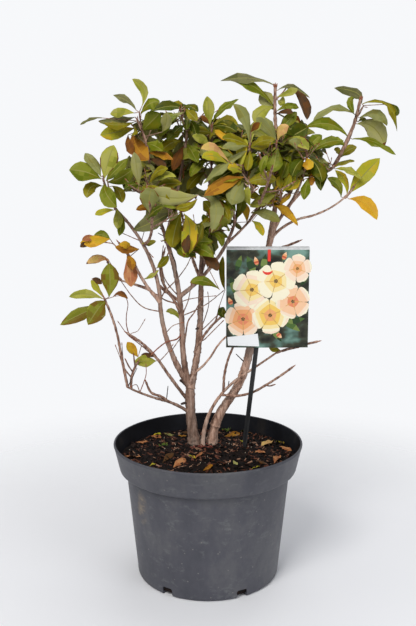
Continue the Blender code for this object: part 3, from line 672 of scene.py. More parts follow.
LEFT_WOOD = ("centre_bough", "left_fork", "left_bough", "low_left", "low_bough", "cross_bough", "mid_top")
# Bark scaled darker on the trunk and left wood is partly painted shade; lighter on the rest is painted
# sunlight.
old_bark = bark("old_bark", 1.0, 0.76)
left_bark = bark("left_bark", 0.6, 0.78)
sunlit_right_bark = bark("bark", 0.2, 1.12)
bark_of = {"trunk": old_bark, **dict.fromkeys(LEFT_WOOD, left_bark)}
limb_courses = {}
for limb in LIMBS:
    start = STEM_FEET[limb.name] if limb.parent is None else point_at(limb_courses[limb.parent], limb.at)
    steps = max(4, round(limb.length * MM / LIMB_STEP))
    points = course(start, limb.length * MM, [heading(*pair) for pair in limb.headings], steps)
    limb_courses[limb.name] = points
    curve = rounded(points, RING_STEP)
    if limb.parent is None:
        curve.insert(0, curve[0] - Vector((0, 0, BURIED)))
    limb_wood = Cluster()
    add_tube(limb_wood, bark_of.get(limb.name, sunlit_right_bark), curve, limb_radii(limb, curve),
             THICK_SIDES if limb.foot > THICK_FOOT else THIN_SIDES, bark_relief(limb.foot * MM))
    limb_wood.settle(limb.name + "_bark", "bark", limb.name)

# Bare twigs: thin dead and leafless side wood, most of it low in the crown, reddish and crooked, with buds at
# the tips. They are drawn as tapered tubes on the limbs, in the places where they show from the front.
PHOTO_MIDDLE, FOCAL = (208, 313), 790      # in pixels of a picture 416 wide and 626 high
VIEW_AHEAD = Vector((0, math.cos(CAMERA_PITCH), -math.sin(CAMERA_PITCH)))
VIEW_UP = Vector((0, math.sin(CAMERA_PITCH), math.cos(CAMERA_PITCH)))
BUD_SHAPE = ((0, 0.55), (0.22, 1.0), (0.5, 0.85), (0.8, 0.4), (1.0, 0.1))      # place and thickness
BUD_LENGTH = 2.6                           # of its thickness
TWIG_STEP, BARE_STEP = 4 * MM, 3 * MM      # between the rings of a twig that bears leaves, and of a bare one
PULL_LIMIT = 8                             # pixels a bare twig's course is moved at most, to start on its limb


def place_at(spot, depth):
    """The place that shows at a pixel of the front view, so far ahead of the camera."""
    across, rise = (spot[0] - PHOTO_MIDDLE[0]) / FOCAL, (PHOTO_MIDDLE[1] - spot[1]) / FOCAL
    return CAMERA_PLACE + (VIEW_AHEAD + Vector((across, 0, 0)) + VIEW_UP * rise) * depth


def spot_of(place):
    """The pixel of the front view where a place shows, and its depth."""
    depth = (place - CAMERA_PLACE).dot(VIEW_AHEAD)
    rise = (place - CAMERA_PLACE).dot(VIEW_UP) / depth
    return Vector((PHOTO_MIDDLE[0] + FOCAL * place.x / depth, PHOTO_MIDDLE[1] - FOCAL * rise)), depth


def nearest_point(courses, spot):
    """The point on any course that shows nearest to a pixel, its gap in pixels, depth, course and place."""
    best = None
    for number, points in enumerate(courses):
        for place, point in enumerate(rounded(points, TWIG_STEP)):
            shown, depth = spot_of(point)
            gap = (shown - Vector(spot)).length
            if best is None or gap < best[1]:
                best = (point, gap, depth, number, place)
    return best


def tapered(count, foot, tip):
    return [foot + (tip - foot) * number / (count - 1) for number in range(count)]


def twig_relief(point, out, radius, ring):
    return 0.2 * radius * noise.noise(point * 160 + out * 2) + 0.12 * radius * math.sin(ring * 2.3)


def add_bud(cluster, place, along, size):
    """A pointed bud: a short tube that swells and closes."""
    points = [place + along * size * BUD_LENGTH * share for share, _ in BUD_SHAPE]
    add_tube(cluster, bud_finish, points, [0.5 * size * wide for _, wide in BUD_SHAPE], 6)


twig_finish = plain_finish("twig_bark", (0.22, 0.12, 0.085), 0.7)
twig_grain = clouds(twig_finish, 300, 5, 0.5, (1, 1, 0.4))
colour_by(twig_finish, twig_grain, (0.35, (0.12, 0.056, 0.037)), (0.52, (0.31, 0.17, 0.12)),
          (0.70, (0.52, 0.36, 0.27)))
emboss(twig_finish, twig_grain, 0.4, 0.8 * MM)
dead_finish = plain_finish("dead_twig", (0.055, 0.034, 0.026), 0.75)
red_finish = plain_finish("red_twig", (0.26, 0.085, 0.05), 0.65)
bud_finish = plain_finish("bud", (0.30, 0.10, 0.045), 0.5)

# Each row: the limb, the pixels it runs through, how far its tip comes forward in mm, its radii in mm,
# and its finish where that isn't the brown one of most.
BareTwig = namedtuple("BareTwig", "limb path near foot tip finish", defaults=[twig_finish])
BARE_TWIGS = [
    BareTwig("left_bough", [(158, 311), (142, 307), (131, 296), (121, 281)], 20, 1.0, 0.6),
    BareTwig("left_fork", [(181, 333), (176, 339), (166, 342), (158, 348), (153, 353)],
             30, 1.3, 0.9, red_finish),
    BareTwig("left_fork", [(181, 336), (177, 342), (172, 350)], 12, 0.9, 0.6),
    BareTwig("left_bough", [(168, 334), (174, 326), (181, 323)], 14, 0.8, 0.6),
    BareTwig("left_fork", [(178, 308), (172, 299), (160, 288)], 16, 0.8, 0.5),
    BareTwig("left_fork", [(177, 298), (170, 290), (163, 278), (161, 262), (163, 248)], 24, 1.0, 0.6),
    BareTwig("left_bough", [(160, 300), (165, 291), (176, 280), (186, 267), (190, 259)], -20, 1.1, 0.6),
    BareTwig("left_fork", [(184, 302), (192, 299), (204, 297), (214, 296)], 8, 0.8, 0.5),
    BareTwig("left_fork", [(184, 315), (198, 309), (210, 302), (222, 292)], -14, 1.0, 0.6),
    BareTwig("left_fork", [(189, 352), (190, 335), (191, 321), (196, 312), (201, 300)], 18, 1.5, 0.8),
    BareTwig("left_fork", [(190, 324), (189, 312), (191, 300), (191, 285)], 26, 1.0, 0.6),
    BareTwig("trunk", [(189, 350), (196, 342), (205, 335), (212, 330), (222, 322)], 30, 1.2, 0.7),
    BareTwig("centre_bough", [(206, 332), (210, 316), (211, 304), (208, 294)], 10, 0.9, 0.5),
    BareTwig("centre_bough", [(206, 333), (212, 325), (219, 316), (222, 313)], 18, 0.9, 0.6),
    BareTwig("low_bough", [(160, 362), (167, 354), (172, 346)], 10, 0.8, 0.5),
    BareTwig("low_bough", [(156, 358), (141, 342), (129, 335), (125, 325), (125, 314), (127, 303), (124, 296),
                           (116, 296)], 16, 1.1, 0.5, red_finish),
    BareTwig("low_bough", [(156, 358), (140, 344), (127, 334), (119, 323)], 12, 1.0, 0.5, red_finish),
    BareTwig("low_bough", [(156, 358), (141, 341), (129, 333), (137, 330), (144, 321)], 10, 0.9, 0.5),
    BareTwig("low_left", [(128, 384), (124, 365), (122, 345)], 12, 1.0, 0.5),
    BareTwig("low_left", [(130, 383), (137, 368)], 6, 0.8, 0.5, dead_finish),
    BareTwig("low_left", [(127, 380), (121, 358), (116, 347)], -8, 0.8, 0.5),
    BareTwig("low_left", [(144, 379), (147, 372), (146, 366)], 10, 0.8, 0.5, red_finish),
    BareTwig("low_left", [(144, 380), (138, 381), (132, 386)], 10, 0.8, 0.5),
    BareTwig("low_left", [(170, 392), (168, 386)], 6, 0.8, 0.6, dead_finish),
    BareTwig("left_bough", [(140, 243), (131, 238), (122, 233)], 4, 0.8, 0.5),
    BareTwig("left_bough", [(148, 247), (152, 256)], 8, 0.8, 0.5),
    BareTwig("left_fork", [(175, 250), (178, 262), (177, 279)], 16, 0.9, 0.5, dead_finish),
    BareTwig("left_lower", [(122, 267), (109, 261)], 2, 0.9, 0.6),
    BareTwig("left_fork", [(162, 233), (160, 228)], 4, 0.9, 0.7, dead_finish),
    BareTwig("left_fork", [(164, 238), (158, 233)], -6, 0.8, 0.6, dead_finish),
    BareTwig("leader", [(288, 200), (289, 210), (289, 219)], 22, 0.9, 0.6, dead_finish),
    BareTwig("right_stem", [(244, 362), (236, 354)], 10, 1.0, 0.7, dead_finish),
    BareTwig("middle_stem", [(229, 390), (229, 381)], 4, 0.8, 0.6, dead_finish),
    BareTwig("middle_stem", [(280, 349), (297, 348)], 6, 0.7, 0.5),
    BareTwig("right_rise", [(356, 112), (360, 109), (365, 107)], 2, 0.7, 0.5),
    BareTwig("trunk", [(184, 377), (180, 380)], 8, 3.0, 1.8, dead_finish),
    BareTwig("trunk", [(184, 371), (181, 370)], 8, 2.4, 1.3, dead_finish),
    BareTwig("trunk", [(185, 401), (181, 404)], 8, 2.8, 1.6, dead_finish),
    BareTwig("centre_bough", [(198, 327), (196, 329)], 8, 2.4, 1.5, dead_finish),
]

bare_wood = {finish: Cluster() for finish in (twig_finish, dead_finish, red_finish, bud_finish)}
for twig in BARE_TWIGS:
    start, gap, depth, *_ = nearest_point([limb_courses[twig.limb]], twig.path[0])
    shift = Vector(twig.path[0]) - spot_of(start)[0]
    points = [start]
    for number, spot in enumerate(twig.path[1:], 1):
        share = number / (len(twig.path) - 1)
        aim = Vector(spot) - shift * (1 - share) * min(1, PULL_LIMIT / max(gap, 0.01))
        points.append(place_at(aim, depth - twig.near * MM * share))
    curve = rounded(points, BARE_STEP)
    radii = tapered(len(curve), twig.foot * MM, twig.tip * MM)
    add_tube(bare_wood[twig.finish], twig.finish, curve, radii, 8, twig_relief)
    if twig.finish is not dead_finish:
        ahead = (curve[-1] - curve[-2]).normalized()
        add_bud(bare_wood[bud_finish], curve[-1], ahead, (twig.tip + 0.6) * 1.6 * MM)
for finish, cluster in bare_wood.items():
    cluster.settle("bare_" + finish.name, "bark")

# Foliage: each mass grows on one stem from its bough, with side shoots that curve upwards, fine twigs on those,
# and a whorl of leaves round every tip. The leaves are leathery, obovate and wavy, and some have turned.
Mass = namedtuple("Mass", "name parent at length headings shoots shoot leaves leaf spread reach seed tint")
MASSES = [
    Mass("far_left_low_leaves", "low_left", 1.0, 142, [(-149, 79), (-142, 79), (-171, 66)],
         1, 30, 6, 72, 56, 95, 358, "olive"),
    Mass("low_left_twigs", "low_left", 0.95, 43, [(107, 72), (5, 56)],
         3, 24, 0, 0, 0, 40, 2, "bare"),
    Mass("wavy_twig", "low_left", 0.38, 56, [(-110, 62), (-155, 8), (-160, 46), (-163, 85)],
         0, 0, 0, 0, 0, 60, 3, "bare"),
    Mass("low_left_leaves", "low_bough", 1.0, 69, [(-162, 55), (-159, 32)],
         3, 46, 2, 34, 74, 75, 387, "green"),
    Mass("left_rust_leaves", "left_outer", 1.0, 44, [(-168, 62), (-165, 50)],
         1, 26, 5, 44, 74, 55, 42, "rust"),
    Mass("left_lower_leaves", "left_lower", 1.0, 35, [(177, 47), (-160, 63)],
         0, 0, 4, 40, 92, 60, 176, "olive"),
    Mass("left_leaves", "left_bough", 1.0, 41, [(-166, 67), (-166, 67)],
         2, 44, 5, 58, 56, 85, 198, "green"),
    Mass("upper_left_leaves", "left_fork", 1.0, 59, [(-162, 85), (178, 63)],
         2, 42, 6, 62, 92, 90, 354, "green"),
    Mass("upper_mid_leaves", "mid_top", 1.0, 55, [(-5, 78), (13, 88)],
         3, 44, 6, 60, 90, 85, 29, "green"),
    Mass("mid_left_leaves", "left_fork", 0.852, 45, [(-95, 30), (-98, 25)],
         2, 36, 5, 64, 50, 80, 141, "olive"),
    Mass("lower_front_leaves", "left_fork", 0.658, 42, [(-76, 7), (-61, 8)],
         2, 34, 5, 60, 76, 75, 79, "olive"),
    Mass("centre_top_leaves", "centre_bough", 1.0, 145, [(-47, 79), (-95, 72)],
         3, 44, 6, 60, 76, 90, 147, "green"),
    Mass("centre_leaves", "cross_bough", 1.0, 80, [(-56, 49), (-96, 51)],
         3, 42, 6, 62, 62, 85, 46, "olive"),
    Mass("leader_leaves", "leader", 1.0, 92, [(-152, 79), (-80, 81)],
         3, 42, 6, 60, 92, 85, 392, "green"),
    Mass("leader_side_leaves", "centre_right", 1.0, 94, [(-40, 61), (-91, 75)],
         3, 40, 6, 58, 90, 80, 113, "olive"),
    Mass("right_centre_leaves", "right_fork", 1.0, 30, [(-82, 55), (-107, 65)],
         2, 38, 6, 58, 90, 75, 2, "green"),
    Mass("right_top_leaves", "right_rise", 1.0, 105, [(-11, 58), (-27, 80)],
         2, 36, 5, 68, 92, 90, 177, "green"),
    Mass("right_mid_leaves", "right_rise", 0.88, 30, [(-54, 13), (-79, 24)],
         1, 30, 5, 54, 92, 70, 187, "olive"),
    Mass("right_end_leaves", "right_reach", 1.0, 22, [(-19, 41), (13, 60)],
         0, 0, 4, 72, 56, 80, 357, "gold"),
    Mass("right_inner_leaves", "right_rise", 0.22, 60, [(-98, 25), (-101, 46)],
         2, 34, 5, 44, 76, 70, 101, "gold"),
    Mass("centre_front_leaves", "cross_bough", 0.753, 75, [(-98, 46), (-96, 22)],
         2, 36, 6, 60, 62, 80, 56, "olive"),
    Mass("centre_low_leaves", "centre_bough", 0.81, 54, [(-68, 54), (-78, 30)],
         2, 36, 6, 52, 90, 70, 31, "olive"),
    Mass("back_left_leaves", "back_left", 1.0, 101, [(122, 65), (158, 68)],
         3, 46, 6, 62, 76, 90, 57, "green"),
    Mass("back_right_leaves", "back_right", 1.0, 122, [(63, 61), (14, 80)],
         3, 46, 6, 62, 76, 95, 60, "olive"),
    Mass("back_stem_leaves", "back_stem", 1.0, 105, [(47, 62), (24, 69)],
         3, 46, 6, 62, 62, 90, 33, "green"),
    Mass("far_back_left_leaves", "mid_top", 0.3, 139, [(97, 7), (151, 33)],
         3, 44, 6, 60, 50, 85, 11, "olive"),
    Mass("front_left_leaves", "left_bough", 0.79, 105, [(-66, 14), (-103, 58)],
         3, 40, 6, 58, 50, 80, 112, "green"),
    Mass("front_right_leaves", "centre_right", 0.6, 141, [(-72, 30), (-84, 38)],
         3, 40, 6, 56, 50, 80, 62, "olive"),
    Mass("middle_stem_leaf", "middle_stem", 1.0, 66, [(-5, 20), (-3, 13)],
         1, 20, 1, 30, 62, 60, 29, "gold"),
    Mass("middle_low_twig", "middle_stem", 0.44, 125, [(8, -14), (-7, 31), (-9, 40)],
         1, 20, 0, 0, 0, 90, 30, "bare"),
    Mass("middle_up_twig", "middle_stem", 0.47, 80, [(-109, 83), (-8, 64)],
         0, 0, 0, 0, 0, 60, 31, "bare"),
    Mass("inner_left_twigs", "left_fork", 0.4, 90, [(-167, 34), (-4, 67)],
         2, 30, 0, 0, 0, 60, 32, "bare"),
    Mass("inner_low_twigs", "left_fork", 0.318, 70, [(-118, 73), (-161, 37)],
         2, 26, 0, 0, 0, 50, 33, "bare"),
    Mass("inner_right_twigs", "centre_bough", 0.258, 62, [(-14, 63), (-11, 40)],
         2, 34, 1, 36, 62, 55, 34, "bare"),
    Mass("right_side_twig", "right_stem", 0.9, 52, [(-28, 12), (-12, 25)],
         0, 0, 0, 0, 0, 50, 35, "bare"),
]
GOLDEN_ANGLE = math.radians(137.5)
STEM_RADII = (2.2 * MM, 1.7 * MM)           # at the foot and the tip
SHOOT_RADII = (1.3 * MM, 1.0 * MM)
FINE_RADII = (0.65 * MM, 0.5 * MM)
STALK_RADIUS, STALK_GAP = 0.55 * MM, 1.5 * MM
STEM_BUD, SHOOT_BUD, FINE_BUD = 2.4 * MM, 2.1 * MM, 1.7 * MM
STEM_STEP, SHOOT_STEPS = 26 * MM, 2
FIRST_SHOOT, SHOOT_SPAN = 0.30, 0.58        # shares of the stem, below its shoots and along them
STOUT_STEMS, STOUT, SIDE_BUDS = ("leader_leaves", "right_top_leaves"), 1.35, 5
WHORL_SPAN = 0.42           # the share of a shoot, at its tip, that bears the leaves
LEAN_RANGE = 38             # degrees between the lowest leaf of a whorl and the highest
LEAF_WIDTH = 0.31           # of its length
LOWEST_LEAF = 255 * MM
LEAF_PLACES = (0.0, 0.08, 0.22, 0.38, 0.54, 0.70, 0.84, 0.94, 1.0)     # rows of corners along a blade
LEAF_LANES = (-1.0, -0.86, -0.48, -0.055, 0.055, 0.48, 0.86, 1.0)       # and across its upper face
UNDER_LANES = (-0.52, -0.09, 0.09, 0.52)                               # and its under face, inside the margins
LANE_MIDDLES = (-0.93, -0.67, -0.27, 0.0, 0.27, 0.67, 0.93)
RIB_ROWS = 7                # a midrib shows as far as this row
BLADE_THICK = 0.35 * MM
BROWNED_SHARE, LIKE_SHARE = 0.2, 0.6       # of the leaves: with brown margins, and in their spray's tint
FINE_TWIGS, FINE_LENGTH, FINE_LEAF = 7, (12 * MM, 26 * MM), 0.8

Tint = namedtuple("Tint", "colour roughness paler turned")
TINTS = {
    "fresh": Tint((0.108, 0.138, 0.005), 0.42, "light", "olive"),
    "light": Tint((0.33, 0.325, 0.046), 0.45, "sage", "fresh"),
    "sage": Tint((0.33, 0.315, 0.125), 0.5, "light", "grey"),
    "olive": Tint((0.175, 0.14, 0.004), 0.45, "lime", "fresh"),
    "turning": Tint((0.17, 0.18, 0.014), 0.48, "light", "rust"),
    "deep": Tint((0.044, 0.059, 0.002), 0.4, "fresh", "olive"),
    "grey": Tint((0.205, 0.215, 0.07), 0.5, "sage", "olive"),
    "dusk": Tint((0.135, 0.128, 0.052), 0.52, "grey", "deep"),
    "lime": Tint((0.35, 0.33, 0.018), 0.45, "light", "gold"),
    "gold": Tint((0.62, 0.34, 0.022), 0.48, "lime", "orange"),
    "orange": Tint((0.29, 0.12, 0.012), 0.5, "gold", "rust"),
    "rust": Tint((0.16, 0.055, 0.01), 0.55, "orange", "dun"),
    "peach": Tint((0.62, 0.38, 0.15), 0.55, "lime", "pink"),
    "pink": Tint((0.38, 0.14, 0.06), 0.55, "peach", "rust"),
    "dun": Tint((0.065, 0.036, 0.016), 0.6, "rust", "rust"),
    "under": Tint((0.24, 0.235, 0.072), 0.62, "grey", "grey"),
    "rib": Tint((0.25, 0.24, 0.06), 0.5, "light", "olive"),
}
AUTUMN = ("gold", "orange", "rust", "peach", "pink", "dun")
TINT_STEPS = 6
MIXES = {
    "green": (("fresh", 6), ("olive", 5), ("deep", 4), ("light", 2), ("grey", 2), ("lime", 0.7), ("gold", 0.3),
              ("rust", 0.25)),
    "olive": (("olive", 6), ("fresh", 4), ("deep", 3), ("grey", 2), ("light", 2), ("lime", 1), ("gold", 0.5),
              ("orange", 0.4)),
    "gold": (("lime", 5), ("gold", 3), ("fresh", 2), ("olive", 1)),
    "rust": (("orange", 4), ("rust", 2), ("olive", 2), ("gold", 1)),
    "bare": (("olive", 1),),
}


@cache
def leaf_finish(name, step):
    """The finish of a tint gone so many steps to its turned neighbour, or to its paler one below nought."""
    tint = TINTS[name]
    other = TINTS[tint.paler if step < 0 else tint.turned]
    share = abs(step) / TINT_STEPS
    colour = [own * (1 - share) + new * share for own, new in zip(tint.colour, other.colour)]
    finish = plain_finish("leaf_%s_%d" % (name, step + TINT_STEPS), colour, tint.roughness, 0.1)
    grain = clouds(finish, 320, 4, 0.6)
    roughen(finish, grain, tint.roughness - 0.1, tint.roughness + 0.12)
    emboss(finish, grain, 0.3, 0.6 * MM)
    return finish


def out_from(along, turn):
    """A unit vector at right angles to a direction, turned round it."""
    aside = square_to(along)
    return aside * math.cos(turn) + along.cross(aside) * math.sin(turn)


def whorl(draw, points, count, length, lean_out):
    """Leaves round the end of a twig: the lowest spread wide and the youngest stand up and are shorter."""
    phase = draw.uniform(0, math.tau)
    leaves = []
    for number in range(count):
        share = number / max(count - 1, 1)
        place = 1 - WHORL_SPAN * (1 - share) * 0.9 - 0.02
        along = direction_at(points, place)
        out = out_from(along, phase + number * GOLDEN_ANGLE)
        lean = math.radians(lean_out + LEAN_RANGE * (0.5 - share) + draw.uniform(-10, 10))
        direction = (along * math.cos(lean) + out * math.sin(lean)).normalized()
        upper = (along * math.sin(lean) - out * math.cos(lean)).normalized()
        size = length * (1.08 - 0.3 * share) * draw.uniform(0.88, 1.12)
        leaves.append((point_at(points, place), direction, upper, size, draw.uniform(0.02, 0.30)))
    return leaves


def branch_off(parent, share, turn, tilt, size, steps):
    """A shoot from a place on its parent, tilted away from it and curving upwards."""
    along = direction_at(parent, share)
    first = (along * math.cos(tilt) + out_from(along, turn) * math.sin(tilt)).normalized()
    last = (first + Vector((0, 0, 0.7))).normalized()
    return course(point_at(parent, share), size, [first, last], steps)


def side_shoot(draw, stem, number, count, length):
    """One shoot on a mass's stem, at a golden-angle place round it."""
    share = FIRST_SHOOT + SHOOT_SPAN * (number + 0.5) / count
    turn = number * GOLDEN_ANGLE + draw.uniform(0, 1.2)
    tilt = math.radians(draw.uniform(48, 68))
    return branch_off(stem, share, turn, tilt, length * draw.uniform(0.85, 1.2), SHOOT_STEPS)


def half_width(place):
    """An obovate outline: a long wedge at the foot, widest past the middle, with a short point."""
    return max(math.sin(math.pi * place ** 1.42), 0) ** 0.9 if 0 < place < 1 else 0


def grown_frames(leaf, bend, twist):
    """A leaf's middle line as (place, centre, side, upper normal), bent down and twisted from its root."""
    root, along, upper, size, _ = leaf
    across = along.cross(upper).normalized()
    frames, centre, before = [], root, 0.0
    for place in LEAF_PLACES:
        ahead = Matrix.Rotation(-bend * (0.5 * (place + before)) ** 1.2, 3, across) @ along
        centre = centre + ahead * size * (place - before)
        before = place
        turned = Matrix.Rotation(twist * place, 3, ahead) @ Matrix.Rotation(-bend * place ** 1.2, 3, across)
        frames.append((place, centre, turned @ across, turned @ upper))
    return frames


def curved_frames(foot, middle, tip, facing):
    """The same for a leaf drawn through three points. facing(centre, ahead) is where its upper face looks."""
    bend = 2 * middle - (foot + tip) / 2
    frames = []
    for place in LEAF_PLACES:
        centre = foot * (1 - place) ** 2 + bend * (2 * place * (1 - place)) + tip * place ** 2
        ahead = ((bend - foot) * (1 - place) + (tip - bend) * place).normalized()
        face_up = facing(centre, ahead)
        face_up = (face_up - ahead * face_up.dot(ahead)).normalized()
        frames.append((place, centre, ahead.cross(face_up), face_up))
    return frames


def facing_viewer(turn, run):
    """A facing that is turned from the viewer towards the sky by so many degrees, for a leaf that runs so."""
    turn = math.radians(turn)
    skyward = run.cross(VIEW_AHEAD)
    upright = abs(skyward.z) < 0.35 * skyward.length
    if (skyward.x > 0) if upright else (skyward.z < 0):
        skyward = -skyward

    def facing(centre, ahead):
        to_eye = CAMERA_PLACE - centre
        to_eye = (to_eye - ahead * to_eye.dot(ahead)).normalized()
        aside = ahead.cross(to_eye)
        if aside.dot(skyward) < 0:
            aside = -aside
        return to_eye * math.cos(turn) + aside * math.sin(turn)
    return facing


def add_blade(cluster, frames, width, tint, draw, curl=None):
    """A thin closed blade on its frames: folded at the midrib, with waved, rolled or brown margins."""
    size = sum((after[1] - before[1]).length for before, after in zip(frames, frames[1:]))
    fold = draw.uniform(0.10, 0.42)
    curl = draw.uniform(0.1, 0.5) if curl is None else curl
    phase, waves = draw.uniform(0, math.tau), draw.uniform(1.2, 2.6)
    browned = draw.random() < BROWNED_SHARE or tint == "turning"
    worn = 0.6 if tint == "turning" else 0.9
    shift = draw.uniform(0, 90)
    corners = cluster.corners
    tops, unders = [], []
    for place, centre, side, face_up in frames[:-1]:
        wide = 0.5 * width * half_width(place) + 0.5 * MM
        wave = 0.045 * size * half_width(place)
        rib_depth = 0.010 * size * (1 - 0.75 * place)

        def corner(lane, drop):
            rise = (fold * abs(lane) - curl * abs(lane) ** 3) * wide - drop
            rise += wave * lane * lane * math.sin(waves * math.tau * place + phase + (2.1 if lane > 0 else 0))
            corners.append(centre + side * wide * lane + face_up * rise)
            return len(corners) - 1

        top = [corner(lane, 0) for lane in LEAF_LANES]
        inner = [corner(lane, BLADE_THICK + (rib_depth if abs(lane) < 0.2 else 0)) for lane in UNDER_LANES]
        tops.append(top)
        unders.append([top[0], *inner, top[-1]])
    corners.append(frames[-1][1])
    for rows in (tops, unders):
        rows.append([len(corners) - 1] * len(LEAF_LANES))

    def add_cell(rows, row, lane, finish, over):
        here, after = rows[row][lane:lane + 2], rows[row + 1][lane:lane + 2]
        cell = (*here, *reversed(after)) if over else (here[0], *after, here[1])
        cluster.add_face(dict.fromkeys(cell), finish)

    back = leaf_finish(tint, -1) if tint in AUTUMN else leaf_finish("under", 0)
    rib = leaf_finish(tint, -2) if tint in AUTUMN else leaf_finish("rib", 0)
    for row in range(len(tops) - 1):
        for lane, middle in enumerate(LANE_MIDDLES):
            blush = noise.noise(Vector((frames[row][0] * 2.6, middle * 0.9, shift)))
            step = min(max(round(blush * 7), -2), 3)
            spotted = noise.noise(Vector((row * worn, middle, shift))) > 0.05
            if middle == 0 and row < RIB_ROWS:
                finish = rib
            elif browned and spotted and (row > 6 or abs(middle) > worn):
                finish = leaf_finish(tint, 4) if tint == "turning" else leaf_finish("rust", abs(step))
            else:
                finish = leaf_finish(tint, step - 1 if abs(middle) > 0.9 else step)
            add_cell(tops, row, lane, finish, True)
        for lane in range(len(UNDER_LANES) + 1):
            add_cell(unders, row, lane, rib if lane == 2 else back, False)
    cluster.add_face((*reversed(tops[0]), *unders[0][1:-1]), back)


